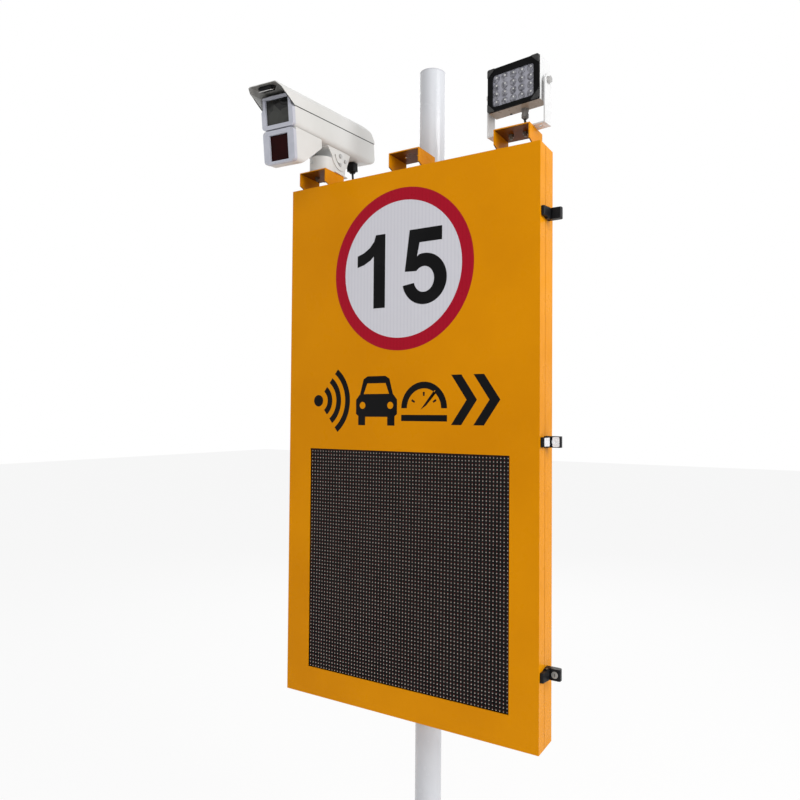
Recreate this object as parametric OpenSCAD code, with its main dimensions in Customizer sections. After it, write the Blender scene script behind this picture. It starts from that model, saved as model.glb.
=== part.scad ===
// Radar speed sign: a flat two-part cabinet with an LED display, carried on a round post by
// clamped rails, with a radar and camera unit and a floodlight on brackets on its top.
// Origin: on the ground under the post's axis. X to the right, Y to the back, Z up.

/* [Cabinet] */
// Width of the cabinet
cab_w = 800; // [740:10:1000]
// Height of the cabinet
cab_h = 1500; // [1460:10:1800]
// Height of the cabinet's underside above the ground
cab_lift = 700; // [600:10:1200]
// Depth of the door tray
door_d = 36; // [32:1:60]
// Depth of the rear case
case_d = 50; // [46:1:80]
// Gap between the door and the rear case
seam = 2; // [1.6:0.1:3]
// Sheet thickness of the door and the rear case
sheet = 1.5; // [1:0.1:2.5]
// Width of the door's folded return
door_return = 15; // [10:1:20]
// Width of the rear case's folded return
case_return = 20; // [16:1:30]

/* [Display] */
// Distance between neighbouring pixels
pixel_pitch = 10; // [8:0.5:10]
// Number of module columns
module_cols = 2; // [1:1:2]
// Height of the window's lower edge above the cabinet's underside
window_rise = 80; // [70:5:100]
// Depth of the window's folded lip
lip_depth = 3; // [2:0.5:5]
// Depth of an LED module
module_d = 16; // [12:1:18]
// Depth of the shade ribs over each pixel row
rib_d = 2; // [1:0.5:3]
// Thickness of the display frame's sheet
frame_t = 2; // [1.5:0.5:3]

/* [Roundel] */
// Outer diameter of the red ring
roundel_d = 450; // [300:10:500]
// Width of the red ring
ring_w = 35; // [20:1:60]
// Distance of the roundel's centre below the cabinet's top
roundel_drop = 277; // [260:1:300]
// Sideways place of the roundel
roundel_x = -6; // [-40:1:40]
// Thickness of the film
film_t = 0.3; // [0.2:0.1:0.5]

/* [Post] */
// Outer diameter of the post
post_d = 76; // [60:1:90]
// Wall of the post
post_wall = 3; // [2:0.5:6]
// Height of the post above the cabinet
post_over = 335; // [150:5:500]
// Thickness of the post's cap
cap_t = 4; // [2:0.5:8]
// Side of the square base plate
base_side = 300; // [280:5:400]
// Thickness of the base plate
base_t = 16; // [10:1:25]
// Distance between the base bolts
base_bolt_gap = 220; // [200:5:240]
// Diameter of the base bolt holes
base_bolt_d = 18; // [12:1:26]
// Height of the gussets
gusset_h = 90; // [60:5:150]

/* [Rails] */
// Depth of the mounting rails
rail_d = 30.9; // [28:0.1:50]
// Height of the mounting rails
rail_h = 60; // [50:1:80]
// Length of the mounting rails
rail_l = 640; // [400:10:700]
// Sheet thickness of the mounting rails
rail_t = 3; // [2:0.5:4]
// Distance of the outer rails from the cabinet's middle
rail_gap = 550; // [450:10:600]
// Diameter of the U-bolt rod
ubolt_d = 10; // [8:1:12]

/* [Brackets] */
// Width of a top bracket
bracket_w = 98.8; // [90:0.2:120]
// Height of a top bracket
bracket_h = 52; // [45:1:80]
// Sheet thickness of a top bracket
bracket_t = 3; // [2:0.5:4]
// Rise of the chamfer that clears the door
bracket_chamfer = 12.5; // [8:0.5:20]
// Distance between the two bolt holes of a bracket
bracket_bolt_gap = 40; // [34:1:44]
// Distance of the bolt holes from the bracket's front edge
bracket_bolt_back = 46; // [42:1:50]
// Sideways place of the left bracket
left_x = -324; // [-340:1:-300]
// Sideways place of the right bracket
right_x = 322; // [300:1:340]

/* [Hinges and latches] */
// Radius of a hinge knuckle
knuckle_r = 5; // [4:0.5:5.5]
// Radius of a hinge pin
hinge_pin_r = 2.5; // [2:0.1:3]
// Length of a hinge
hinge_l = 80; // [60:5:120]
// Distance of the outer hinges and latches from the cabinet's middle
fitting_gap = 571; // [450:1:600]
// Height of a latch block
latch_h = 33; // [28:1:45]
// Reach of a latch block from the cabinet's side
latch_out = 42; // [38:1:50]
// Length of a latch block along the cabinet's side
latch_l = 34; // [28:1:40]
// Reach of a lever over the door's side
lever_l = 30; // [24:1:34]
// Diameter of a lock plug
plug_d = 17; // [12:0.5:18]

/* [Camera unit] */
// Length of the housing with its bezel
cam_l = 428; // [380:2:480]
// Width of the housing
cam_w = 107; // [100:1:116]
// Height of the seam under the sunshield
cam_seam = 55.5; // [50:0.5:58]
// Height of the sunshield's top
shield_top = 101; // [98:0.5:110]
// Overhang of the sunshield in front
shield_over = 54; // [30:1:70]
// Wall of the housing
cam_wall = 3; // [2:0.5:4]
// Depth of the radar pod below the housing
pod_h = 94; // [90:1:100]
// Downward tilt of the camera unit
cam_tilt = 6.4; // [0:0.2:8]
// Turn of the camera unit
cam_turn = 3.8; // [0:0.2:6]
// Height of the tilt axis above the bracket
cam_pivot_h = 60.5; // [58:0.5:70]

/* [Floodlight] */
// Width of the floodlight's front
flood_w = 150; // [140:1:170]
// Height of the floodlight's front
flood_h = 112; // [108:1:130]
// Depth of the floodlight's housing
flood_d = 45; // [40:1:60]
// Depth of the cooling fins
fin_d = 15; // [8:1:25]
// Width of the bail arm's strip
arm_w = 34; // [26:1:40]
// Thickness of the bail arm's strip
arm_t = 3.5; // [3:0.5:5]
// Height of the floodlight's pivot above the bracket
flood_pivot_h = 112; // [105:1:140]
// Turn of the floodlight
flood_turn = -6.9; // [-10:0.1:10]

/* [Hidden] */
$fn = 64;

// Clearances
fit = 0.05;
air = 0.3;
tiny = 0.01;

// Cabinet planes
post_r = post_d / 2;
clamp_air = 0.1;
case_back = -(post_r + clamp_air + rail_d);
case_front = case_back - case_d;
door_back = case_front - seam;
door_front = door_back - door_d;
cab_top = cab_lift + cab_h;
cab_mid = cab_lift + cab_h / 2;
side_x = cab_w / 2;

// Display
module_rows = 4;
pixels_x = 32;
pixels_y = 16;
module_w = pixels_x * pixel_pitch;
module_h = pixels_y * pixel_pitch;
module_air = 0.4;
matrix_w = module_cols * module_w;
matrix_h = module_rows * module_h;
matrix_z = cab_lift + window_rise;
window_air = 1;
module_front = door_front + lip_depth;
module_back = module_front + module_d;
frame_back = module_back + frame_t;

// Brackets and what stands on them
bracket_top = cab_top + bracket_h;
bolt_y = door_front + bracket_bolt_back;
device_bolt_r = 4;
device_hole_r = 4.5;

// Hinges
hinge_x = -side_x - knuckle_r - 1;
hinge_y = case_front - seam / 2;
knuckles = 5;
leaf_t = 2;
leaf_l = 28;

// Latches: the lever's pivot stands just in front of the block
latch_front = case_front + 3;
lever_pivot_x = side_x + 6;
lever_pivot_y = latch_front - 5.5;
lever_pin_r = 2;
lever_hub_r = 4.5;
ear_t = 4;
plug_x = side_x + 25;
plug_l = 20;
latch_z = [cab_mid + fitting_gap + 6, cab_mid + 6, cab_mid - fitting_gap + 6];
hinge_z = [cab_mid + fitting_gap, cab_mid, cab_mid - fitting_gap];

// Camera unit: its own frame has the origin in the middle of the upper bezel's lower edge
cam_x = left_x + 4;
cam_y = door_front + 72;
cam_z = bracket_top + cam_pivot_h;
pivot_back = 242;
pivot_drop = 26;
floor_fall = 12 / 377;
floor_front = -2;
bezel_d = 12;
shoe_t = 3;
foot_half = 38;
foot_t = 3;
shoe_in = foot_half + air;
shoe_out = shoe_in + shoe_t;
fan_r = 43;
slot_r = 27;
slot_w = 6.6;
pivot_screw_r = 4;
clamp_screw_r = 3;
clamp_angle = -92;
stay_angle = -19;

// Floodlight: its own frame has the origin in the middle of the front face
flood_x = right_x;
flood_z = bracket_top + flood_pivot_h;
flood_pivot_back = 31;
flood_pivot_z = -2;
flood_bolt_r = 5;
flood_frame_d = 6;
boss_out = 6;
arm_in = flood_w / 2 + boss_out + air;

// Leads: points chosen by hand, with their heights counted from the cabinet's top
camera_lead_route = [[-319.95, 35, 103.7], [-320.1, 37.1, 84.8], [-319, 38, 58], [-318, 36, 32],
    [-315, 30, 8], [-311, 19, -14], [-307, 5, -32], [-303, -12, -48], [-300.5, -28, -58],
    [-300, -37, -60], [-300, -45.9, -60]];
camera_lead_r = 3.5;
flood_lead_route = [[338.93, -107.6, 83.9], [338.93, -107.6, 78.5], [340, -101, 73],
    [342, -91, 68], [344, -79, 65], [346, -66, 62], [348, -54, 56], [350, -45, 46],
    [350, -39, 33], [349, -34, 18], [347, -29, 2], [343, -25, -14], [338, -23, -29],
    [334, -25, -43], [331, -29, -53], [330, -37, -60], [330, -45.9, -60]];
flood_lead_r = 3;

gland_r = 10;
gland_z = cab_top - 60;
gland_l = 23;

// Helpers

// Extrudes a Y-Z outline along X, centred on X = 0
module along_x(l) {
    rotate([90, 0, 90]) linear_extrude(l, center = true) children();
}

// Extrudes an X-Z outline along +Y from Y = 0
module along_y(l) {
    translate([0, l, 0]) rotate([90, 0, 0]) linear_extrude(l) children();
}

// Box given by its two opposite corners
module span(a, b) {
    translate(a) cube(b - a);
}

// Cylinder along X between two places
module rod_x(x0, x1, r) {
    translate([x0, 0, 0]) rotate([0, 90, 0]) cylinder(x1 - x0, r, r);
}

// Cylinder along Y between two places
module rod_y(y0, y1, r) {
    translate([0, y0, 0]) rotate([-90, 0, 0]) cylinder(y1 - y0, r, r);
}

// Hexagonal prism along Z, sized across its flats
module hex_prism(across, h) {
    cylinder(h, across / sqrt(3), across / sqrt(3), $fn = 6);
}

// Points of an arc
function arc(c, r, a0, a1, n) = [for (i = [0:n]) let (a = a0 + (a1 - a0) * i / n)
    [c[0] + r * cos(a), c[1] + r * sin(a)]];

// Rectangle outline with its lower corners rounded
function trough(half, low, high, r) = concat([[half, high], [-half, high]],
    arc([-half + r, low + r], r, 180, 270, 6), arc([half - r, low + r], r, 270, 360, 6));

// Rectangle outline with all corners rounded
function round_box(x0, x1, y0, y1, r) = concat(arc([x1 - r, y1 - r], r, 0, 90, 6),
    arc([x0 + r, y1 - r], r, 90, 180, 6), arc([x0 + r, y0 + r], r, 180, 270, 6),
    arc([x1 - r, y0 + r], r, 270, 360, 6));

// Post and base

module base_plate() color("gainsboro") {
    difference() {
        span([-base_side / 2, -base_side / 2, 0], [base_side / 2, base_side / 2, base_t]);
        for (x = [-1, 1], y = [-1, 1])
            translate([x * base_bolt_gap / 2, y * base_bolt_gap / 2, -1])
                cylinder(base_t + 2, base_bolt_d / 2, base_bolt_d / 2);
    }
    for (a = [0:90:270]) rotate([0, 0, a]) gusset();
}

module gusset() {
    reach = base_side / 2 - 25;
    difference() {
        rotate([90, 0, 0]) linear_extrude(8, center = true)
            polygon([[post_r - 3, base_t], [reach, base_t], [reach, base_t + 12],
                [post_r + 8, base_t + gusset_h], [post_r - 3, base_t + gusset_h]]);
        cylinder(base_t + gusset_h + 1, post_r, post_r);
    }
}

module pole_tube() color("white") {
    low = base_t;
    high = cab_top + post_over - cap_t;
    translate([0, 0, low]) difference() {
        cylinder(high - low, post_r, post_r);
        translate([0, 0, -1]) cylinder(high - low + 2, post_r - post_wall, post_r - post_wall);
    }
}

module pole_cap() color("silver") {
    spigot = 20;
    spigot_r = post_r - post_wall - clamp_air;
    translate([0, 0, cab_top + post_over - cap_t]) {
        cylinder(cap_t, post_r, post_r);
        translate([0, 0, -spigot]) difference() {
            cylinder(spigot + tiny, spigot_r, spigot_r);
            translate([0, 0, -1]) cylinder(spigot + 1 - tiny, spigot_r - 2, spigot_r - 2);
        }
    }
}

rail_z = [cab_mid - rail_gap, cab_mid, cab_mid + rail_gap];
ubolt_x = post_r + clamp_air + ubolt_d / 2;
web_y = case_back + rail_d - rail_t;

module mounting_rails() color("silver") {
    for (z = rail_z) translate([0, 0, z]) difference() {
        span([-rail_l / 2, case_back, -rail_h / 2], [rail_l / 2, case_back + rail_d, rail_h / 2]);
        span([-rail_l, case_back - 1, -rail_h / 2 + rail_t], [rail_l, web_y, rail_h / 2 - rail_t]);
        for (x = [-ubolt_x, ubolt_x]) translate([x, 0, 0])
            rod_y(web_y - 1, case_back + rail_d + 1, ubolt_d / 2 + 0.5);
    }
}

module pole_u_bolts() color("lightgray") {
    for (z = rail_z) translate([0, 0, z]) {
        rotate_extrude(angle = 180) translate([ubolt_x, 0]) circle(ubolt_d / 2);
        for (x = [-ubolt_x, ubolt_x]) translate([x, 0, 0]) rod_y(web_y - 14, 0, ubolt_d / 2);
    }
}

module u_bolt_nuts() color("lightgray") {
    for (z = rail_z, x = [-ubolt_x, ubolt_x]) translate([x, web_y, z]) rotate([90, 0, 0])
        difference() {
            hex_prism(17, 8);
            translate([0, 0, -1]) cylinder(10, ubolt_d / 2 + fit, ubolt_d / 2 + fit);
        }
}

// Cabinet

module rear_case() color("orange") {
    difference() {
        span([-side_x, case_front, cab_lift], [side_x, case_back, cab_top]);
        span([-side_x + sheet, case_front + sheet, cab_lift + sheet],
            [side_x - sheet, case_back - sheet, cab_top - sheet]);
        span([-side_x + case_return, case_front - 1, cab_lift + case_return],
            [side_x - case_return, case_front + sheet + 1, cab_top - case_return]);
        for (x = gland_xs) translate([x, 0, gland_z])
            rod_y(case_back - sheet - 1, case_back + 1, gland_r - 2 + fit);
        translate([0, (case_front + case_back) / 2, cab_lift - 1])
            cylinder(sheet + 2, gland_r - 2 + fit, gland_r - 2 + fit);
    }
}

module case_seal() color("dimgray") {
    edge = 4;
    width = 10;
    difference() {
        span([-side_x + edge, door_back + 0.1, cab_lift + edge],
            [side_x - edge, case_front, cab_top - edge]);
        span([-side_x + edge + width, door_back - 1, cab_lift + edge + width],
            [side_x - edge - width, case_front + 1, cab_top - edge - width]);
    }
}

module door_shell() color("orange") {
    half = matrix_w / 2 + window_air / 2;
    low = matrix_z - window_air / 2;
    high = matrix_z + matrix_h + window_air / 2;
    difference() {
        union() {
            difference() {
                span([-side_x, door_front, cab_lift], [side_x, door_back, cab_top]);
                span([-side_x + sheet, door_front + sheet, cab_lift + sheet],
                    [side_x - sheet, door_back - sheet, cab_top - sheet]);
                span([-side_x + door_return, door_back - sheet - 1, cab_lift + door_return],
                    [side_x - door_return, door_back + 1, cab_top - door_return]);
            }
            span([-half - sheet, door_front + sheet - tiny, low - sheet],
                [half + sheet, module_front, high + sheet]);
        }
        span([-half, door_front - 1, low], [half, module_front + 1, high]);
    }
}

module roundel_place() {
    translate([roundel_x, door_front - film_t, cab_top - roundel_drop]) children();
}

module roundel_disc() color("white") {
    roundel_place() rod_y(0, film_t, roundel_d / 2 - ring_w, $fn = 96);
}

module roundel_ring() color("crimson") {
    roundel_place() difference() {
        rod_y(0, film_t, roundel_d / 2, $fn = 96);
        rod_y(-1, film_t + 1, roundel_d / 2 - ring_w, $fn = 96);
    }
}

module module_frame() color("dimgray") {
    inner = matrix_w / 2 + window_air / 2 + sheet + air;
    low = matrix_z - window_air / 2 - sheet - air;
    high = matrix_z + matrix_h + window_air / 2 + sheet + air;
    border = 12;
    difference() {
        span([-inner - frame_t, door_front + sheet, low - frame_t],
            [inner + frame_t, frame_back, high + frame_t]);
        span([-inner, door_front, low], [inner, module_back, high]);
        for (c = [0:module_cols - 1], r = [0:module_rows - 1]) {
            x = -matrix_w / 2 + c * module_w;
            z = matrix_z + r * module_h;
            span([x + border, module_back - 1, z + border],
                [x + module_w - border, frame_back + 1, z + module_h - border]);
        }
    }
}

module led_module() {
    face = module_front + rib_d;
    width = module_w - module_air;
    span([module_air / 2, face, module_air / 2],
        [module_air / 2 + width, module_back, module_h - module_air / 2]);
    for (p = [1:pixels_y]) {
        z = p * pixel_pitch - 1.3;
        span([module_air / 2, module_front, z], [module_air / 2 + width, face + tiny, z + 1]);
    }
}

module led_row(r) color("black") {
    for (c = [0:module_cols - 1])
        translate([-matrix_w / 2 + c * module_w, 0, matrix_z + (r - 1) * module_h]) led_module();
}

// Brackets

module bracket(x) color("orange") {
    deep = case_back - door_front;
    foot = 18;
    outline = [[case_back, cab_top], [case_front, cab_top],
        [door_front, cab_top + bracket_chamfer], [door_front, bracket_top],
        [case_back, bracket_top]];
    translate([x, 0, 0]) difference() {
        union() {
            for (s = [-1, 1]) translate([s * (bracket_w - bracket_t) / 2, 0, 0])
                along_x(bracket_t) polygon(outline);
            span([-bracket_w / 2, door_front, bracket_top - bracket_t],
                [bracket_w / 2, case_back, bracket_top]);
            for (s = [-1, 1]) translate([s * (bracket_w - foot) / 2, 0, 0])
                span([-foot / 2, case_front + 2, cab_top],
                    [foot / 2, case_back, cab_top + bracket_t]);
        }
        for (s = [-1, 1]) translate([s * bracket_bolt_gap / 2, bolt_y, bracket_top - bracket_t - 1])
            cylinder(bracket_t + 2, device_hole_r, device_hole_r);
    }
}

module device_bolt(grip) {
    head = 5.3;
    translate([0, 0, grip]) hex_prism(13, head);
    translate([0, 0, -bracket_t - 12]) cylinder(grip + bracket_t + 12 + tiny,
        device_bolt_r, device_bolt_r);
    translate([0, 0, -bracket_t - 6.5]) hex_prism(13, 6.5);
}

module device_bolts() color("silver") {
    for (s = [-1, 1]) {
        translate([left_x + s * bracket_bolt_gap / 2, bolt_y, bracket_top]) device_bolt(foot_t);
        translate([right_x + s * bracket_bolt_gap / 2, bolt_y, bracket_top]) device_bolt(arm_t);
    }
}

// Hinges

knuckle_l = hinge_l / knuckles;

module hinge_leaf(side, first) {
    // side +1 is the case's leaf, -1 the door's; first is its lowest knuckle
    near = knuckle_r + 0.5;
    for (z = hinge_z) translate([hinge_x, hinge_y, z - hinge_l / 2]) {
        x0 = -side_x - leaf_t - hinge_x;
        x1 = -side_x - hinge_x;
        mirror([0, side < 0 ? 1 : 0, 0]) {
            span([x0, near, 0], [x1, near + leaf_l, hinge_l]);
            for (k = [first:2:knuckles - 1]) {
                low = k * knuckle_l + 0.15;
                high = (k + 1) * knuckle_l - 0.15;
                difference() {
                    union() {
                        translate([0, 0, low]) cylinder(high - low, knuckle_r, knuckle_r);
                        span([x0, 0, low], [x1, near + tiny, high]);
                    }
                    translate([0, 0, low - 1])
                        cylinder(high - low + 2, hinge_pin_r + fit, hinge_pin_r + fit);
                }
            }
        }
    }
}

module hinge_case_leaves() color("darkorange") hinge_leaf(1, 0);
module hinge_door_leaves() color("darkorange") hinge_leaf(-1, 1);

module hinge_pins() color("silver") {
    for (z = hinge_z) translate([hinge_x, hinge_y, z - hinge_l / 2]) {
        cylinder(hinge_l, hinge_pin_r, hinge_pin_r);
        translate([0, 0, hinge_l]) cylinder(2, knuckle_r - 1, knuckle_r - 1);
    }
}

// Latches

module latch_block() {
    half = latch_h / 2;
    slot = half - ear_t;
    x0 = side_x;
    x1 = side_x + latch_out;
    bevel = 6;
    difference() {
        union() {
            translate([0, 0, -half]) linear_extrude(latch_h)
                polygon([[x0, latch_front], [x1, latch_front], [x1, latch_front + latch_l - 16],
                    [x1 - bevel * 2, latch_front + latch_l], [x0, latch_front + latch_l]]);
            for (s = [0, 1]) mirror([0, 0, s]) translate([0, 0, slot]) {
                translate([lever_pivot_x, lever_pivot_y, 0]) cylinder(ear_t, 5, 5);
                span([lever_pivot_x - 5, lever_pivot_y, 0],
                    [lever_pivot_x + 5, latch_front + tiny, ear_t]);
            }
        }
        translate([lever_pivot_x, lever_pivot_y, -half - 1])
            cylinder(latch_h + 2, lever_pin_r + fit, lever_pin_r + fit);
        translate([plug_x, 0, 0]) rod_y(latch_front - 1, latch_front + plug_l, plug_d / 2 + fit);
    }
}

module latch_blocks() color("#202020") {
    for (z = latch_z) translate([0, 0, z]) latch_block();
}

module latch_pins() color("silver") {
    for (z = latch_z) translate([lever_pivot_x, lever_pivot_y, z - latch_h / 2])
        cylinder(latch_h, lever_pin_r, lever_pin_r);
}

module latch_lever(i) color("#202020") {
    half = latch_h / 2 - ear_t - air;
    inner = side_x + air - lever_pivot_x;
    tip = -lever_l + 1;
    translate([lever_pivot_x, lever_pivot_y, latch_z[i]]) difference() {
        union() {
            translate([0, 0, -half]) cylinder(2 * half, lever_hub_r, lever_hub_r);
            translate([0, 0, -half]) linear_extrude(2 * half)
                polygon([[inner, 0], [inner, tip], [inner + 5, tip - 1], [inner + 11, tip + 3],
                    [inner + 10.5, tip + 5], [inner + 8, tip + 8], [lever_hub_r, -2],
                    [lever_hub_r, 0]]);
        }
        translate([0, 0, -half - 1]) cylinder(2 * half + 2, lever_pin_r + fit, lever_pin_r + fit);
    }
}

module lock_plug(i) color("gray") {
    translate([plug_x, 0, latch_z[i]]) difference() {
        rod_y(latch_front - 0.5, latch_front + plug_l - air, plug_d / 2);
        span([-0.8, latch_front - 1, -3.5], [0.8, latch_front + 8, 3.5]);
    }
}

// Electronics on the rear case's back wall

wall_y = case_back - sheet;

module power_supply() color("silver") {
    span([-250, wall_y - 30, cab_lift + 90], [-35, wall_y, cab_lift + 205]);
    span([-250, wall_y - 22, cab_lift + 76], [-35, wall_y - 6, cab_lift + 90]);
}

module control_board() color("seagreen") {
    board_y = wall_y - 12;
    x0 = 60;
    x1 = 260;
    z0 = cab_mid - 120;
    z1 = cab_mid + 30;
    span([x0, board_y - 1.6, z0], [x1, board_y, z1]);
    for (x = [x0 + 8, x1 - 8], z = [z0 + 8, z1 - 8]) translate([x, 0, z]) rod_y(board_y, wall_y, 3);
    span([x0 + 60, board_y - 8, z0 + 50], [x0 + 100, board_y - 1.6, z0 + 90]);
    for (k = [0:7]) span([x0 + 12 + k * 22, board_y - 12, z1 - 18],
        [x0 + 30 + k * 22, board_y - 1.6, z1 - 6]);
}

din_z = cab_lift + 148;
din_x = 60;
din_l = 240;
din_deep = 7.5;

module din_rail() color("silver") {
    translate([din_x + din_l / 2, wall_y, din_z]) along_x(din_l)
        polygon([[0, -12.5], [0, 12.5], [-din_deep + 1, 12.5], [-din_deep + 1, 17.5],
            [-din_deep, 17.5], [-din_deep, 11.5], [-1, 11.5], [-1, -11.5], [-din_deep, -11.5],
            [-din_deep, -17.5], [-din_deep + 1, -17.5], [-din_deep + 1, -12.5]]);
}

module circuit_breaker() color("whitesmoke") {
    face = wall_y - din_deep;
    translate([din_x + 46, face, din_z]) along_x(36)
        polygon([[0, -40], [0, 40], [-24, 40], [-24, 22], [-34, 22], [-34, 8], [-37, 4], [-37, -2],
            [-34, -6], [-34, -22], [-24, -22], [-24, -40]]);
}

module terminal_block() color("lightslategray") {
    face = wall_y - din_deep;
    for (k = [0:7]) translate([din_x + 90 + k * 12, face, din_z]) along_x(11.4)
        polygon([[0, -24], [0, 24], [-18, 24], [-28, 14], [-28, 4], [-22, 0], [-28, -4], [-28, -14],
            [-18, -24]]);
}

// Cable glands: two on the back wall for the leads of the devices, one below for the supply

gland_xs = [-300, 330];

module cable_gland() {
    cylinder(5, 12, 12, $fn = 6);
    cylinder(14, gland_r, gland_r);
    translate([0, 0, 14]) cylinder(gland_l - 18, gland_r + 1, gland_r + 1);
    translate([0, 0, gland_l - 4]) cylinder(4, gland_r + 1, gland_r - 3);
    translate([0, 0, -12]) cylinder(12 + tiny, gland_r - 2, gland_r - 2);
    translate([0, 0, -sheet - 5]) hex_prism(20, 5);
}

module cable_glands() color("dimgray") {
    for (x = gland_xs) translate([x, case_back, gland_z]) rotate([-90, 0, 0]) cable_gland();
    translate([0, (case_front + case_back) / 2, cab_lift]) rotate([180, 0, 0]) cable_gland();
}

// Leads: one tube along the route's points

function unit(v) = v / norm(v);
function tangent(p, i) = let (n = len(p) - 1)
    i == 0 ? unit(p[1] - p[0]) : i == n ? unit(p[n] - p[n - 1]) : unit(p[i + 1] - p[i - 1]);
function ring(c, t, r, n) = let (u = unit(cross(t, [1, 0.2, 0.1])), v = cross(t, u))
    [for (k = [0:n - 1]) c + r * (u * cos(360 * k / n) + v * sin(360 * k / n))];

module lead(route, r, sides) translate([0, 0, cab_top]) {
    count = len(route);
    rings = [for (i = [0:count - 1]) each ring(route[i], tangent(route, i), r, sides)];
    walls = [for (i = [0:count - 2], k = [0:sides - 1]) let (a = i * sides + k,
        b = i * sides + (k + 1) % sides) each [[a, b, b + sides], [a, b + sides, a + sides]]];
    first = [for (k = [sides - 1:-1:0]) k];
    last = [for (k = [0:sides - 1]) (count - 1) * sides + k];
    polyhedron(rings, concat(walls, [first, last]), convexity = 4);
}

module camera_lead() color("#151515") lead(camera_lead_route, camera_lead_r, 8);
module flood_lead() color("#151515") lead(flood_lead_route, flood_lead_r, 8);

// Camera unit

module foot_place() {
    translate([cam_x, cam_y, cam_z]) rotate([0, 0, cam_turn]) children();
}

module head_place() {
    translate([cam_x, cam_y, cam_z]) rotate([cam_tilt, 0, cam_turn])
        translate([0, -pivot_back, pivot_drop]) children();
}

// Height of the housing's sloping floor, in the unit's frame and at the tilt axis
function floor_z(y) = floor_front - floor_fall * y;
function shoe_z(y) = floor_z(y + pivot_back) + pivot_drop;

module camera_foot() color("whitesmoke") {
    base = -cam_pivot_h;
    drum_y = -34;
    drum_h = 43;
    back = 30;
    cheek = concat([[back, base], [back + 3, -28], [16, 4]],
        [[-16, 4], [drum_y, base + drum_h], [drum_y, base]]);
    difference() {
        foot_place() difference() {
            union() {
                intersection() {
                    translate([0, drum_y, base]) cylinder(drum_h, foot_half, foot_half);
                    span([-50, drum_y - foot_half - 1, base - 1], [50, drum_y, base + drum_h + 1]);
                }
                span([-foot_half, drum_y, base], [foot_half, back, base + foot_t]);
                for (s = [-1, 1]) translate([s * (foot_half - foot_t / 2), 0, 0])
                    along_x(foot_t) polygon(cheek);
                span([foot_half - tiny, drum_y, base], [foot_half + 11, back, base + foot_t]);
            }
            difference() {
                translate([0, drum_y, base + foot_t])
                    cylinder(drum_h, foot_half - foot_t, foot_half - foot_t);
                span([-50, drum_y + tiny, base], [50, 50, 0]);
            }
            rod_x(-50, 50, pivot_screw_r + fit);
            for (a = [clamp_angle, stay_angle]) rotate([a, 0, 0]) translate([0, slot_r, 0])
                rod_x(-50, 50, clamp_screw_r + fit);
            for (a = [-32, -18]) translate([0, drum_y, base + 24]) rotate([0, 0, a])
                translate([0, -foot_half, 0]) rod_y(-5, 8, 2.5);
        }
        for (s = [-1, 1]) translate([left_x + s * bracket_bolt_gap / 2, bolt_y, bracket_top - 1])
            cylinder(foot_t + 2, device_hole_r, device_hole_r);
    }
}

module foot_screw(r) {
    for (s = [0, 1]) mirror([s, 0, 0]) {
        rod_x(foot_half - foot_t - 6, shoe_out + 0.1, r);
        rod_x(shoe_out + 0.1, shoe_out + 1.3, r + 3);
        rod_x(shoe_out + 1.3, shoe_out + 4, r + 2);
    }
}

module camera_foot_screws() color("silver") foot_place() {
    foot_screw(pivot_screw_r);
    for (a = [clamp_angle, stay_angle]) rotate([a, 0, 0]) translate([0, slot_r, 0])
        foot_screw(clamp_screw_r);
}

module arc_slot(a0, a1) {
    cap = 22.5;
    polygon(concat(arc([0, 0], slot_r + slot_w / 2, a0, a1, 16),
        arc(slot_r * [cos(a1), sin(a1)], slot_w / 2, a1 + cap, a1 + 180 - cap, 6),
        arc([0, 0], slot_r - slot_w / 2, a1, a0, 16),
        arc(slot_r * [cos(a0), sin(a0)], slot_w / 2, a0 + 180 + cap, a0 + 360 - cap, 6)));
}

module tilt_shoe() color("whitesmoke") {
    front = -64;
    rear = 56;
    fan = concat([[rear, shoe_z(rear)], [front, shoe_z(front)]], arc([0, 0], fan_r, 190, 325, 24));
    plate = [[rear, shoe_z(rear)], [front, shoe_z(front)], [front, shoe_z(front) - shoe_t],
        [rear, shoe_z(rear) - shoe_t]];
    translate([cam_x, cam_y, cam_z]) rotate([cam_tilt, 0, cam_turn]) difference() {
        union() {
            for (s = [-1, 1]) translate([s * (shoe_in + shoe_t / 2), 0, 0])
                along_x(shoe_t) difference() {
                    polygon(fan);
                    arc_slot(184, clamp_angle - cam_tilt + 360 + 7);
                    arc_slot(stay_angle - cam_tilt - 7, stay_angle - cam_tilt + 7);
                }
            along_x(2 * shoe_out) polygon(plate);
        }
        rod_x(-50, 50, pivot_screw_r + fit);
    }
}

housing_top = 88;
neck_half = cam_w / 2 - 5;
neck_back = 40;

// Side outline of the housing, shrunk by a wall
function housing_side(w) = concat([[bezel_d + (w > 0 ? -1 : 0), housing_top - w],
    [bezel_d + (w > 0 ? -1 : 0), floor_front - 20]], arc([cam_l - 24, 10], 24 - w, 285, 360, 8),
    [[cam_l - w, cam_seam - 1 - w], [cam_l - neck_back - w, cam_seam - 1 - w],
    [cam_l - neck_back - w, housing_top - w]]);

module housing_body(w) {
    half = cam_w / 2 - w;
    intersection() {
        union() {
            rotate([-atan(floor_fall), 0, 0]) translate([0, -20, 0]) along_y(cam_l + 60)
                polygon(trough(half, floor_front + w, housing_top + 30, 14 - w));
        }
        union() {
            span([-half, 0, -60], [half, cam_l + 10, cam_seam - 1 - w]);
            span([-neck_half + w, 0, -60], [neck_half - w, cam_l + 10, housing_top + 1]);
        }
        along_x(cam_w + 10) polygon(housing_side(w));
    }
}

module camera_housing() color("ivory") head_place() {
    difference() {
        housing_body(0);
        housing_body(cam_wall);
    }
    for (y = [90, cam_l - 80]) translate([0, y, housing_top - tiny])
        cylinder(shield_top - 2 - housing_top + tiny, 6, 6);
}

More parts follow.
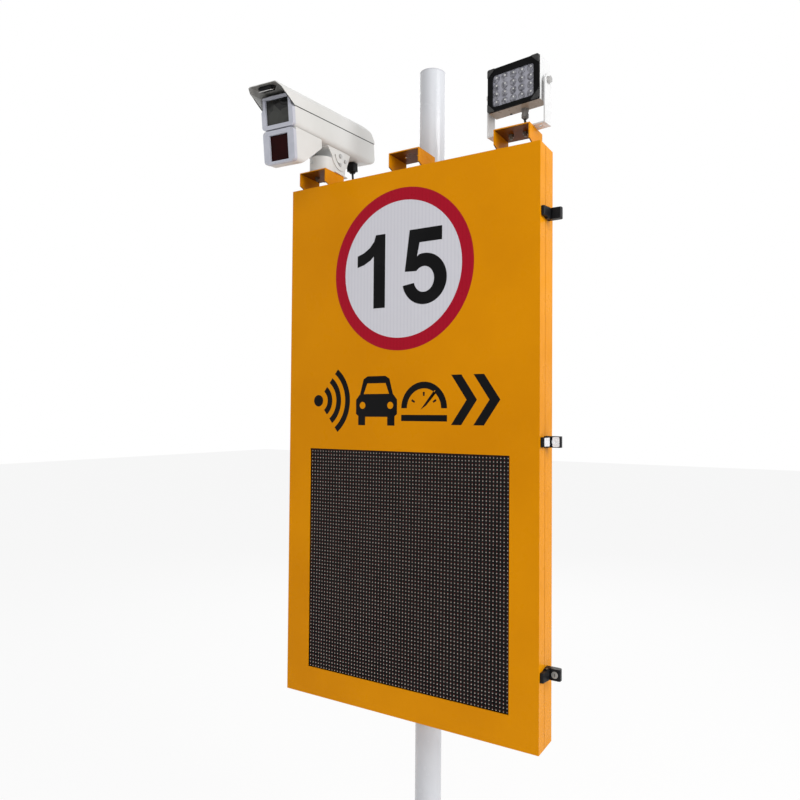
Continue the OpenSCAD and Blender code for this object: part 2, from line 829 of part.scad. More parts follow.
module shield_section(w) {
    half = cam_w / 2 + 0.5 - w;
    polygon([[-half, cam_seam - (w > 0 ? 1 : 0)], [half, cam_seam - (w > 0 ? 1 : 0)],
        [half, shield_top - 13 - w * 0.4], [half - 10.5, shield_top - w],
        [-half + 10.5, shield_top - w], [-half, shield_top - 13 - w * 0.4]]);
}

// Side outline of the sunshield; its inner form, shrunk by a wall, is open in front and below
function shield_side(w) = let (rear = cam_l + 3 - w, open = w > 0 ? 20 : 0) concat(
    w > 0 ? [[-shield_over - open, shield_top + 1], [-shield_over - open, cam_seam - open],
        [rear, cam_seam - open]]
    : [[-shield_over, shield_top + 1], [-shield_over - 2, shield_top - 4], [9, cam_seam],
        [rear, cam_seam]],
    [[rear, cam_seam + 10 - w / 3], [rear - 15, shield_top - 18 - w / 3],
    [rear - 37, shield_top - 4 - w / 2], [rear - 53, shield_top + 1 - w / 2]]);

module shield_body(w) {
    intersection() {
        translate([0, -shield_over - 30, 0]) along_y(cam_l + shield_over + 60) shield_section(w);
        along_x(cam_w + 20) polygon(shield_side(w));
    }
}

module camera_sunshield() color("ivory") head_place() difference() {
    shield_body(0);
    shield_body(2);
}

window_w = 78.4;
window_h = 69.3;
window_low = 11.2;

module camera_bezel() color("lavender") head_place() {
    half = cam_w / 2;
    difference() {
        along_y(bezel_d) polygon(concat(arc([-half + 9, 9], 9, 180, 270, 6),
            arc([half - 9, 9], 9, 270, 360, 6), [[half, cam_seam - 6], [neck_half - 1, cam_seam + 2],
            [neck_half - 1, housing_top], [-neck_half + 1, housing_top],
            [-neck_half + 1, cam_seam + 2], [-half, cam_seam - 6]]));
        span([-window_w / 2, -1, window_low], [window_w / 2, bezel_d + 1, window_low + window_h]);
        span([-window_w / 2 - 2, 6, window_low - 2],
            [window_w / 2 + 2, bezel_d + 1, window_low + window_h + 2]);
    }
}

module camera_window() color("#303438") head_place()
    span([-window_w / 2 - 1.9, 6, window_low - 1.9],
        [window_w / 2 + 1.9, 9, window_low + window_h + 1.9]);

module camera_lens() color("#181818") head_place() {
    axis = window_low + window_h / 2;
    translate([0, 0, axis]) {
        rod_y(18, 30, 24);
        rod_y(30, 74, 20);
        rod_y(74, 130, 16);
    }
    intersection() {
        span([-14, 78, -30], [14, 122, axis - 10]);
        housing_body(cam_wall);
    }
}

// Side outline of the radar pod, shrunk by a wall
function pod_side(w) = concat([[bezel_d - w, floor_z(bezel_d) - w], [bezel_d - w, -pod_h + w]],
    arc([34, -pod_h + 10], 10 - w, 270, 318, 4), arc([122, -26], 9 - w, 312, 360, 4),
    [[131 - w, floor_z(131) - w]]);

module pod_body(w) {
    half = cam_w / 2 - 0.8 - w;
    intersection() {
        translate([0, bezel_d - 2, 0]) along_y(140)
            polygon(trough(half, -pod_h + w, 20, 12 - w));
        along_x(cam_w + 10) polygon(pod_side(w));
    }
}

module radar_pod() color("ivory") head_place() difference() {
    pod_body(0);
    pod_body(2.5);
}

pod_window_w = 63.4;
pod_window_h = 70.6;
pod_window_low = -86.8;
pod_bezel_top = -3.6;

module pod_bezel() color("lavender") head_place() {
    half = cam_w / 2 - 0.8;
    difference() {
        along_y(bezel_d) polygon(round_box(-half, half, -pod_h, pod_bezel_top, 10));
        span([-pod_window_w / 2, -1, pod_window_low],
            [pod_window_w / 2, bezel_d + 1, pod_window_low + pod_window_h]);
        span([-pod_window_w / 2 - 2, 6, pod_window_low - 2],
            [pod_window_w / 2 + 2, bezel_d + 1, pod_window_low + pod_window_h + 2]);
    }
}

module pod_window() color("#301010") head_place()
    span([-pod_window_w / 2 - 1.9, 6, pod_window_low - 1.9],
        [pod_window_w / 2 + 1.9, 9, pod_window_low + pod_window_h + 1.9]);

module radar_board() color("seagreen") head_place() {
    z0 = -80;
    z1 = -18;
    span([-40, 20, z0], [40, 21.6, z1]);
    for (x = [-37, 37], z = [z0 + 4, z1 - 4]) translate([x, 0, z]) rod_y(bezel_d, 20, 2.5);
    for (x = [-18, 2], z = [z0 + 12, z0 + 34]) span([x, 19, z], [x + 16, 20 + tiny, z + 16]);
}

connector_y = 360;
connector_x = 8;

module camera_connector() color("#151515") head_place() difference() {
    union() {
        translate([connector_x, connector_y, -42]) linear_extrude(26)
            polygon(round_box(-14, 14, -13, 13, 4));
        translate([connector_x, connector_y, -48]) cylinder(6 + tiny, 8, 12);
        translate([connector_x, connector_y, -17]) cylinder(10, 11, 11);
    }
    rotate([-atan(floor_fall), 0, 0]) span([-60, 250, floor_front], [60, 450, 40]);
}

// Floodlight

module arm_place() {
    translate([flood_x, bolt_y, flood_z]) rotate([0, 0, flood_turn]) children();
}

module lamp_place() {
    arm_place() translate([0, -flood_pivot_back, -flood_pivot_z]) children();
}

module flood_arm() color("white") {
    half = arm_in + arm_t;
    low = -flood_pivot_h;
    side = [[-arm_w / 2, low], [arm_w / 2, low], [arm_w / 2, -2], [8, 13], [-8, 13],
        [-arm_w / 2, -2]];
    difference() {
        arm_place() difference() {
            union() {
                span([-half, -arm_w / 2, low], [half, arm_w / 2, low + arm_t]);
                for (s = [-1, 1]) translate([s * (arm_in + arm_t / 2), 0, 0])
                    along_x(arm_t) polygon(side);
            }
            rod_x(-half - 1, half + 1, flood_bolt_r + fit);
            for (s = [-1, 1]) translate([s * (half - 20), 0, low - 1]) cylinder(arm_t + 2, 5, 5);
        }
        for (s = [-1, 1]) translate([right_x + s * bracket_bolt_gap / 2, bolt_y, bracket_top - 1])
            cylinder(arm_t + 2, device_hole_r, device_hole_r);
    }
}

module flood_housing() color("white") lamp_place() {
    x = flood_w / 2;
    z = flood_h / 2;
    back = flood_d;
    fins = 11;
    difference() {
        span([-x, flood_frame_d, -z], [x, back, z]);
        span([-x + 8, flood_frame_d - 1, -z + 8], [x - 8, back - 8, z - 8]);
    }
    for (k = [0:fins - 1]) translate([-x + 1.5 + k * (flood_w - 3) / (fins - 1), 0, 0])
        along_x(3) polygon([[back - tiny, -z], [back + fin_d - 4, -z + 6], [back + fin_d, -z + 14],
            [back + fin_d, z - 14], [back + fin_d - 4, z - 6], [back - tiny, z]]);
    for (s = [0, 1]) mirror([s, 0, 0]) translate([0, flood_pivot_back, flood_pivot_z]) difference() {
        rod_x(x - tiny, x + boss_out, 9);
        rod_x(x - 1, x + boss_out + 1, flood_bolt_r);
    }
}

lens_x0 = -60;
lens_x1 = 60;
lens_z0 = -45;
lens_z1 = 38;

module flood_frame() color("#101010") lamp_place() difference() {
    along_y(flood_frame_d) polygon(round_box(-flood_w / 2, flood_w / 2, -flood_h / 2, flood_h / 2, 4));
    translate([0, -1, 0]) along_y(3.1) polygon(round_box(lens_x0, lens_x1, lens_z0, lens_z1, 8));
    span([lens_x0 - 4, 2, lens_z0 - 4], [lens_x1 + 4, flood_frame_d + 1, lens_z1 + 4]);
}

module flood_corner_clamps() color("#3a3a3a") lamp_place() {
    leg = 21;
    x = flood_w / 2;
    z = flood_h / 2;
    for (sx = [0, 1], sz = [0, 1]) mirror([sx, 0, 0]) mirror([0, 0, sz])
        translate([0, -2, 0]) along_y(2) polygon([[x, z - leg], [x, z - 3], [x - 3, z],
            [x - leg, z], [x - leg, z - 2], [x - 2, z - leg]]);
}

module flood_lens_plate() color("#a0a0b0") lamp_place() {
    pitch_x = 25;
    pitch_z = 21;
    face = 3.2;
    dome_r = 10;
    dome_h = 2.8;
    ball = (dome_r * dome_r + dome_h * dome_h) / (2 * dome_h);
    span([lens_x0 - 3.8, face, lens_z0 - 3.8], [lens_x1 + 3.8, flood_frame_d, lens_z1 + 3.8]);
    for (i = [-2:2], j = [-1.5:1.5]) translate([i * pitch_x, face, (lens_z0 + lens_z1) / 2 + j * pitch_z])
        intersection() {
            translate([0, ball - dome_h, 0]) sphere(ball);
            rod_y(-dome_h - 1, 1, dome_r);
        }
}

module flood_led_board() color("seagreen") lamp_place() {
    board = flood_d - 8;
    span([-60, board - 1.6, -42], [60, board, 42]);
    for (i = [-2:2], j = [-1.5:1.5]) translate([i * 25, 0, -3.5 + j * 21]) rod_y(board - 4, board - 1.5, 4);
}

module flood_gland() color("dimgray") lamp_place() translate([16.4, 36.4, -flood_h / 2]) {
    translate([0, 0, -5]) hex_prism(19, 5);
    translate([0, 0, -14]) cylinder(9 + tiny, 8.5, 8.5);
    translate([0, 0, -22]) cylinder(8 + tiny, 9.5, 9.5);
    translate([0, 0, -26]) cylinder(4 + tiny, 5.5, 9.5);
}

module flood_pivot_bolts() color("silver") lamp_place()
    translate([0, flood_pivot_back, flood_pivot_z]) for (s = [0, 1]) mirror([s, 0, 0]) {
        rod_x(flood_w / 2, arm_in + arm_t + 0.2, flood_bolt_r);
        rod_x(arm_in + arm_t + 0.2, arm_in + arm_t + 1.7, 9);
        translate([arm_in + arm_t + 1.7, 0, 0]) rotate([0, 90, 0]) hex_prism(16, 6);
    }

base_plate();
pole_tube();
pole_cap();
mounting_rails();
pole_u_bolts();
u_bolt_nuts();
rear_case();
case_seal();
bracket(left_x);  // left_bracket
bracket(0);  // middle_bracket
bracket(right_x);  // right_bracket
hinge_case_leaves();
hinge_pins();
latch_blocks();
latch_pins();
power_supply();
control_board();
din_rail();
circuit_breaker();
terminal_block();
cable_glands();
device_bolts();
camera_foot();
camera_foot_screws();
camera_lead();
flood_arm();
flood_lead();
door_shell();
hinge_door_leaves();
module_frame();
for (r = [1:module_rows]) {
    led_row(r);
}
roundel_disc();
roundel_ring();
latch_lever(0);  // latch_lever_top
latch_lever(1);  // latch_lever_middle
latch_lever(2);  // latch_lever_low
lock_plug(0);  // lock_plug_top
lock_plug(1);  // lock_plug_middle
lock_plug(2);  // lock_plug_low
camera_housing();
camera_sunshield();
camera_bezel();
camera_window();
camera_lens();
radar_pod();
pod_bezel();
pod_window();
radar_board();
camera_connector();
tilt_shoe();
flood_housing();
flood_frame();
flood_corner_clamps();
flood_lens_plate();
flood_led_board();
flood_gland();
flood_pivot_bolts();
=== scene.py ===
"""Looks of a post-mounted radar speed sign: finishes, lamps, films and small fittings."""

import logging
import math
from dataclasses import dataclass, field
from enum import Enum

import bmesh
import bpy
import numpy as np
from mathutils import Matrix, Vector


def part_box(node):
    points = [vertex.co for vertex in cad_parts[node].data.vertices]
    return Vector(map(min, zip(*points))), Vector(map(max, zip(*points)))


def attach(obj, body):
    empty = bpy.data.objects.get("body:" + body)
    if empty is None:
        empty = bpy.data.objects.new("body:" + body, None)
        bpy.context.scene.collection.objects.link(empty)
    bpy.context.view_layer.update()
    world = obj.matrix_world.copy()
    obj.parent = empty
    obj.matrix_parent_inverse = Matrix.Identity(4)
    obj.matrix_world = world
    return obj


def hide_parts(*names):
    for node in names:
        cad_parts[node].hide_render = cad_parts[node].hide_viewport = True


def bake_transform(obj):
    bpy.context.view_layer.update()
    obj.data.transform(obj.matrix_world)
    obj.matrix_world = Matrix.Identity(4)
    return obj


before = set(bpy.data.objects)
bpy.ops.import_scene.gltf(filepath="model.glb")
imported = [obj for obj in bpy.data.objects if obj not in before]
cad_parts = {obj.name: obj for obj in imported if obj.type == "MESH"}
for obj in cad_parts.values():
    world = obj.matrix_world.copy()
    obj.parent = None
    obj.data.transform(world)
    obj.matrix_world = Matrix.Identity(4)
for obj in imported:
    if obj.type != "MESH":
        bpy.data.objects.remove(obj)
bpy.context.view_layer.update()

log = logging.getLogger("radar_sign")
Point = tuple[float, float, float]
Loop = np.ndarray
MM = 0.001
EVEN = (1.0, 1.0, 1.0)

# Directions of the sign's devices, in degrees, and their pivots, in metres
CAMERA_TURN = 3.8
CAMERA_TILT = 6.4
CAMERA_PIVOT = (-0.320, -0.085, 2.3125)
CAMERA_PIVOT_IN_UNIT = (0.0, 0.242, -0.026)
LAMP_TURN = -6.9
LAMP_PIVOT = (0.322, -0.111, 2.364)
LAMP_PIVOT_IN_UNIT = (0.0, 0.031, -0.002)

# Routes of the two leads, in millimetres
CAMERA_LEAD_ROUTE = [(-319.95, 35, 2303.7), (-320.1, 37.1, 2284.8), (-319, 38, 2258),
    (-318, 36, 2232), (-315, 30, 2208), (-311, 19, 2186), (-307, 5, 2168), (-303, -12, 2152),
    (-300.5, -28, 2142), (-300, -37, 2140), (-300, -45.9, 2140)]
FLOOD_LEAD_ROUTE = [(338.93, -107.6, 2283.9), (338.93, -107.6, 2278.5), (340, -101, 2273),
    (342, -91, 2268), (344, -79, 2265), (346, -66, 2262), (348, -54, 2256), (350, -45, 2246),
    (350, -39, 2233), (349, -34, 2218), (347, -29, 2202), (343, -25, 2186), (338, -23, 2171),
    (334, -25, 2157), (331, -29, 2147), (330, -37, 2140), (330, -45.9, 2140)]


class Grain(Enum):
    """The kinds of surface texture that the sign's finishes show, and one pattern of painted
    reflection.
    """

    PEEL = "orange peel of sprayed paint"
    BRUSHED = "fine lines along the piece"
    SPANGLE = "patches of zinc"
    MOULDED = "fine spark-eroded grain"
    FILM = "vertical stripes of reflective film"
    # Painted reflection rather than texture: grey patches mixed into a dark pane's colour
    PANE_REFLECTION = "broken grey reflections behind glass"
    SMOOTH = "nearly even"


# How fine each grain's relief is, and how deep, in metres
RELIEF_SCALES = {Grain.PEEL: 420.0, Grain.BRUSHED: 500.0, Grain.SPANGLE: 90.0,
    Grain.MOULDED: 1500.0, Grain.FILM: 900.0, Grain.PANE_REFLECTION: 200.0, Grain.SMOOTH: 160.0}
RELIEF_DEPTH = 0.0004
COAT_ROUGHNESS = 0.08


@dataclass(frozen=True)
class Finish:
    """One finish: its two colours, gloss, texture and any painted shade, built as a procedural
    material.
    """

    name: str
    colour: Point
    shade: Point
    roughness: float
    grain: Grain = Grain.SMOOTH
    metallic: float = 0.0
    coat: float = 0.0
    patch: float = 9.0
    bump: float = 0.1
    emission: float = 0.0
    spread: float = 0.08
    specular: float = 0.5
    # Painted shade: a darker colour painted on faces that look down, and on faces that look to the
    # front behind the depth below, in metres
    painted_shade: Point | None = None
    painted_shade_from: float = 100.0

    def build(self) -> bpy.types.Material:
        """Returns the material, made once and then reused."""
        made = bpy.data.materials.get(self.name)
        if made is not None:
            return made
        material = bpy.data.materials.new(self.name)
        material.use_nodes = True
        tree = material.node_tree
        tree.nodes.clear()
        out = tree.nodes.new("ShaderNodeOutputMaterial")
        shader = tree.nodes.new("ShaderNodeBsdfPrincipled")
        tree.links.new(shader.outputs["BSDF"], out.inputs["Surface"])
        shader.inputs["Metallic"].default_value = self.metallic
        shader.inputs["Coat Weight"].default_value = self.coat
        shader.inputs["Coat Roughness"].default_value = COAT_ROUGHNESS
        shader.inputs["Specular IOR Level"].default_value = self.specular
        if self.emission > 0:
            shader.inputs["Emission Color"].default_value = (*self.colour, 1.0)
            shader.inputs["Emission Strength"].default_value = self.emission
        self._colour(tree, shader)
        self._relief(tree, shader)
        return material

    def _vector(self, tree: bpy.types.NodeTree, scale: Point) -> bpy.types.NodeSocket:
        """Returns object coordinates stretched by scale."""
        place = tree.nodes.new("ShaderNodeTexCoord")
        mapping = tree.nodes.new("ShaderNodeMapping")
        mapping.inputs["Scale"].default_value = scale
        tree.links.new(place.outputs["Object"], mapping.inputs["Vector"])
        return mapping.outputs["Vector"]

    def _noise(self, tree: bpy.types.NodeTree, scale: float, detail: float,
               stretch: Point = EVEN) -> bpy.types.NodeSocket:
        """Returns the factor of a noise texture over the piece."""
        noise = tree.nodes.new("ShaderNodeTexNoise")
        noise.inputs["Scale"].default_value = scale
        noise.inputs["Detail"].default_value = detail
        tree.links.new(self._vector(tree, stretch), noise.inputs["Vector"])
        return noise.outputs["Fac"]

    def _ramp(self, tree: bpy.types.NodeTree, value: bpy.types.NodeSocket,
              low: float, high: float) -> bpy.types.NodeSocket:
        """Returns value stretched so that low to high becomes 0 to 1."""
        ramp = tree.nodes.new("ShaderNodeMapRange")
        ramp.inputs["From Min"].default_value = low
        ramp.inputs["From Max"].default_value = high
        tree.links.new(value, ramp.inputs["Value"])
        return ramp.outputs["Result"]

    def _cells(self, tree: bpy.types.NodeTree, scale: float,
               stretch: Point = EVEN) -> bpy.types.NodeSocket:
        """Returns one grey for each cell of a broken pattern."""
        cells = tree.nodes.new("ShaderNodeTexVoronoi")
        cells.inputs["Scale"].default_value = scale
        tree.links.new(self._vector(tree, stretch), cells.inputs["Vector"])
        grey = tree.nodes.new("ShaderNodeRGBToBW")
        tree.links.new(cells.outputs["Color"], grey.inputs["Color"])
        return grey.outputs["Val"]

    def _stripes(self, tree: bpy.types.NodeTree) -> bpy.types.NodeSocket:
        """Returns the upright stripes of reflective film."""
        wave = tree.nodes.new("ShaderNodeTexWave")
        wave.inputs["Scale"].default_value = 28.0
        wave.inputs["Distortion"].default_value = 0.3
        wave.bands_direction = "X"
        tree.links.new(self._vector(tree, EVEN), wave.inputs["Vector"])
        return wave.outputs["Fac"]

    def _pattern(self, tree: bpy.types.NodeTree) -> bpy.types.NodeSocket:
        """Returns the pattern by which the grain mixes the finish's two colours."""
        if self.grain is Grain.FILM:
            return self._ramp(tree, self._stripes(tree), 0.55, 0.95)
        if self.grain is Grain.SPANGLE:
            return self._cells(tree, 70.0)
        # Painted reflection: broken grey cells in the pane's colour
        if self.grain is Grain.PANE_REFLECTION:
            return self._ramp(tree, self._cells(tree, self.patch, (1.0, 0.3, 0.7)), 0.2, 0.8)
        if self.grain is Grain.BRUSHED:
            return self._ramp(tree, self._noise(tree, 60.0, 4.0, (1.0, 1.0, 0.06)), 0.3, 0.7)
        return self._ramp(tree, self._noise(tree, self.patch, 3.0), 0.35, 0.7)

    def _colour(self, tree: bpy.types.NodeTree, shader: bpy.types.Node) -> None:
        """Mixes the two colours by the grain's pattern and varies the roughness."""
        mix = tree.nodes.new("ShaderNodeMix")
        mix.data_type = "RGBA"
        mix.inputs["A"].default_value = (*self.colour, 1.0)
        mix.inputs["B"].default_value = (*self.shade, 1.0)
        tree.links.new(self._pattern(tree), mix.inputs["Factor"])
        result = mix.outputs["Result"]
        # Painted shade: down-facing faces and inner front-facing faces take the darker colour
        if self.painted_shade is not None:
            result = self._paint_shade(tree, result)
        tree.links.new(result, shader.inputs["Base Color"])
        rough = tree.nodes.new("ShaderNodeMapRange")
        rough.inputs["From Min"].default_value = 0.3
        rough.inputs["From Max"].default_value = 0.7
        rough.inputs["To Min"].default_value = max(0.02, self.roughness - self.spread)
        rough.inputs["To Max"].default_value = min(1.0, self.roughness + self.spread)
        tree.links.new(self._noise(tree, self.patch * 4.0, 5.0), rough.inputs["Value"])
        tree.links.new(rough.outputs["Result"], shader.inputs["Roughness"])

    def _paint_shade(self, tree: bpy.types.NodeTree,
                 colour: bpy.types.NodeSocket) -> bpy.types.NodeSocket:
        """Paints shade into the colour: darkens faces that look down, and faces behind a depth that
        look to the front.

        Args:
            tree: the material's nodes.
            colour: the open faces' colour.

        Returns:
            The colour with painted shade on those faces.
        """
        facing = tree.nodes.new("ShaderNodeSeparateXYZ")
        tree.links.new(tree.nodes.new("ShaderNodeNewGeometry").outputs["Normal"],
                       facing.inputs["Vector"])
        place = tree.nodes.new("ShaderNodeSeparateXYZ")
        tree.links.new(self._vector(tree, EVEN), place.inputs["Vector"])
        down = self._ramp(tree, facing.outputs["Z"], -0.3, -0.8)
        ahead = self._ramp(tree, facing.outputs["Y"], -0.3, -0.8)
        behind = self._ramp(tree, place.outputs["Y"], self.painted_shade_from,
                            self.painted_shade_from + 0.006)
        inside = tree.nodes.new("ShaderNodeMath")
        inside.operation = "MULTIPLY"
        tree.links.new(ahead, inside.inputs[0])
        tree.links.new(behind, inside.inputs[1])
        either = tree.nodes.new("ShaderNodeMath")
        either.operation = "MAXIMUM"
        tree.links.new(down, either.inputs[0])
        tree.links.new(inside.outputs["Value"], either.inputs[1])
        mix = tree.nodes.new("ShaderNodeMix")
        mix.data_type = "RGBA"
        mix.inputs["B"].default_value = (*self.painted_shade, 1.0)
        tree.links.new(either.outputs["Value"], mix.inputs["Factor"])
        tree.links.new(colour, mix.inputs["A"])
        return mix.outputs["Result"]

    def _relief(self, tree: bpy.types.NodeTree, shader: bpy.types.Node) -> None:
        """Raises the fine grain of the surface as bump."""
        stretch = (1.0, 1.0, 0.05) if self.grain is Grain.BRUSHED else EVEN
        bump = tree.nodes.new("ShaderNodeBump")
        bump.inputs["Strength"].default_value = self.bump
        bump.inputs["Distance"].default_value = RELIEF_DEPTH
        relief = self._noise(tree, RELIEF_SCALES[self.grain], 2.0, stretch)
        tree.links.new(relief, bump.inputs["Height"])
        tree.links.new(bump.outputs["Normal"], shader.inputs["Normal"])


ORANGE_PAINT = Finish("orange_powder_coat", (0.68, 0.255, 0.0006), (0.62, 0.225, 0.0005), 0.30,
    Grain.PEEL, patch=4.0, bump=0.22, specular=0.05)
# Painted shade: the brackets' undersides and inner faces behind y -0.140 are painted dark brown
BRACKET_PAINT_AND_SHADE = Finish("orange_bracket_paint_painted_shade", (0.66, 0.245, 0.0006), (0.60, 0.22, 0.0005), 0.32,
    Grain.PEEL, patch=9.0, bump=0.22, specular=0.05, painted_shade=(0.16, 0.052, 0.002),
    painted_shade_from=-0.140)
POST_PAINT = Finish("white_post_paint", (0.60, 0.615, 0.645), (0.53, 0.545, 0.58), 0.22,
    Grain.PEEL, patch=6.0, bump=0.08, specular=0.4)
CAP_METAL = Finish("post_cap_grey", (0.52, 0.53, 0.56), (0.42, 0.43, 0.46), 0.45, Grain.MOULDED)
ZINC = Finish("hot_dip_zinc", (0.50, 0.51, 0.53), (0.62, 0.63, 0.65), 0.42, Grain.SPANGLE,
    metallic=0.85, bump=0.15)
BRIGHT_STEEL = Finish("turned_steel", (0.58, 0.57, 0.56), (0.44, 0.43, 0.42), 0.3, Grain.BRUSHED,
    metallic=1.0, patch=40.0)
SEAL_RUBBER = Finish("sealing_foam", (0.02, 0.02, 0.021), (0.035, 0.035, 0.036), 0.9,
    Grain.MOULDED, bump=0.5)
LATCH_BLACK = Finish("black_latch_plastic", (0.005, 0.005, 0.006), (0.013, 0.013, 0.014), 0.38,
    Grain.MOULDED, patch=30.0, bump=0.2, specular=0.10)
KEY_METAL = Finish("worn_key_disc", (0.44, 0.43, 0.41), (0.22, 0.215, 0.20), 0.45, Grain.BRUSHED,
    metallic=0.8, patch=90.0)
# Painted reflection: the middle latch's faces and lock plug are painted silver-white for bright
# surroundings reflected in its black plastic
LATCH_PAINTED_REFLECTION = Finish("latch_painted_reflection", (0.82, 0.82, 0.83), (0.64, 0.64, 0.66), 0.25,
    Grain.BRUSHED, metallic=0.3, patch=60.0, bump=0.05)
# Painted shade: the bolts and rivets are painted dark brownish metal, as they look in shade
BOLT_METAL_SHADED = Finish("bolt_metal_painted_shade", (0.12, 0.10, 0.08), (0.22, 0.18, 0.13), 0.45,
    Grain.BRUSHED, metallic=0.7, patch=90.0)
FILM_WHITE = Finish("white_reflective_film", (0.61, 0.605, 0.65), (0.575, 0.57, 0.62), 0.35,
    Grain.FILM, bump=0.05, specular=0.15)
FILM_RED = Finish("red_reflective_film", (0.36, 0.0045, 0.019), (0.335, 0.004, 0.017), 0.33,
    Grain.FILM, bump=0.05, specular=0.08)
FILM_BLACK = Finish("black_film", (0.004, 0.004, 0.0045), (0.007, 0.007, 0.0075), 0.35,
    Grain.PEEL, bump=0.05, specular=0.06)
MASK_BLACK = Finish("louvred_mask", (0.005, 0.005, 0.005), (0.010, 0.0095, 0.009), 0.55,
    Grain.MOULDED, patch=50.0, bump=0.4, specular=0.1)
LAMP_RED = Finish("red_lamp_epoxy", (0.16, 0.012, 0.010), (0.09, 0.006, 0.006), 0.18, patch=300.0,
    specular=0.3)
LAMP_PALE = Finish("pale_lamp_epoxy", (0.50, 0.45, 0.40), (0.27, 0.22, 0.19), 0.2, patch=300.0)
DEVICE_PAINT = Finish("ivory_device_paint", (0.64, 0.64, 0.625), (0.60, 0.60, 0.58), 0.38,
    Grain.PEEL, patch=7.0, bump=0.12, specular=0.25)
# Painted shade: the sunshield's undersides are painted dark grey
SHIELD_PAINT_AND_SHADE = Finish("ivory_sunshield_paint_painted_shade", (0.64, 0.64, 0.625), (0.60, 0.60, 0.58), 0.38,
    Grain.PEEL, patch=7.0, bump=0.12, specular=0.25, painted_shade=(0.20, 0.197, 0.185))
BEZEL_PLASTIC = Finish("pale_lilac_bezel", (0.50, 0.51, 0.57), (0.43, 0.44, 0.50), 0.35,
    Grain.MOULDED, patch=20.0, specular=0.3)
# Painted reflection: broken grey patches in the dark colour of the window and the lens glass
DARK_PANE_WITH_REFLECTION = Finish("dark_window_pane_painted_reflection", (0.008, 0.008, 0.008), (0.040, 0.041, 0.037), 0.1,
    Grain.PANE_REFLECTION, patch=38.0, bump=0.0, spread=0.03, specular=0.25)
RED_PANE = Finish("dark_red_pane", (0.020, 0.0012, 0.0012), (0.008, 0.0008, 0.0008), 0.16,
    patch=18.0, bump=0.0, spread=0.04, specular=0.05)
LENS_BLACK = Finish("lens_barrel_black", (0.012, 0.012, 0.012), (0.02, 0.02, 0.02), 0.4,
    Grain.MOULDED)
BOARD_GREEN = Finish("solder_mask_green", (0.012, 0.09, 0.035), (0.02, 0.13, 0.05), 0.4,
    Grain.SMOOTH, patch=60.0)
CASING_GREY = Finish("light_grey_casing", (0.48, 0.49, 0.50), (0.40, 0.41, 0.42), 0.5,
    Grain.MOULDED, patch=30.0)
GLAND_BLACK = Finish("nylon_gland_black", (0.015, 0.015, 0.015), (0.03, 0.03, 0.03), 0.5,
    Grain.MOULDED, patch=40.0, specular=0.25)
GLAND_GREY = Finish("nylon_gland_grey", (0.20, 0.19, 0.18), (0.13, 0.125, 0.12), 0.5,
    Grain.MOULDED, patch=60.0)
LEAD_BLACK = Finish("black_lead_sheath", (0.008, 0.008, 0.008), (0.015, 0.015, 0.015), 0.45,
    Grain.MOULDED, patch=60.0, specular=0.25)
FRAME_BLACK = Finish("black_frame_coat", (0.003, 0.003, 0.0032), (0.006, 0.006, 0.0063), 0.5,
    Grain.PEEL, patch=30.0, specular=0.05)
CLAMP_GREY = Finish("dark_grey_corner_clamp", (0.02, 0.02, 0.021), (0.05, 0.049, 0.047), 0.55,
    Grain.MOULDED, patch=160.0, bump=0.8, specular=0.25)
LAMP_WHITE = Finish("white_lamp_paint", (0.66, 0.66, 0.66), (0.61, 0.61, 0.61), 0.3,
    Grain.PEEL, patch=12.0, specular=0.3)
# Painted shade and painted reflection: the lamp housing's undersides are painted brownish grey, for
# shade tinted by the orange bracket below
LAMP_SHELL_AND_SHADE = Finish("white_lamp_shell_painted_shade", (0.66, 0.66, 0.66), (0.61, 0.61, 0.61), 0.3,
    Grain.PEEL, patch=12.0, specular=0.3, painted_shade=(0.33, 0.26, 0.20))
LENS_PLATE = Finish("violet_grey_lens_plate", (0.36, 0.36, 0.41), (0.29, 0.29, 0.34), 0.25,
    patch=40.0, specular=0.3)
# Painted highlight: noise mixes light grey streaks into the lens domes' dark colour
LENS_DOME_AND_HIGHLIGHT = Finish("dark_lens_dome_painted_highlight", (0.05, 0.05, 0.065), (0.30, 0.30, 0.34), 0.12,
    coat=0.4, patch=150.0, spread=0.05, specular=0.4)
# Painted highlight: pale dots set off the centre of the lens domes
PALE_LENS_HIGHLIGHT = Finish("pale_lens_painted_highlight", (0.75, 0.75, 0.72), (0.6, 0.6, 0.58), 0.3, patch=80.0)

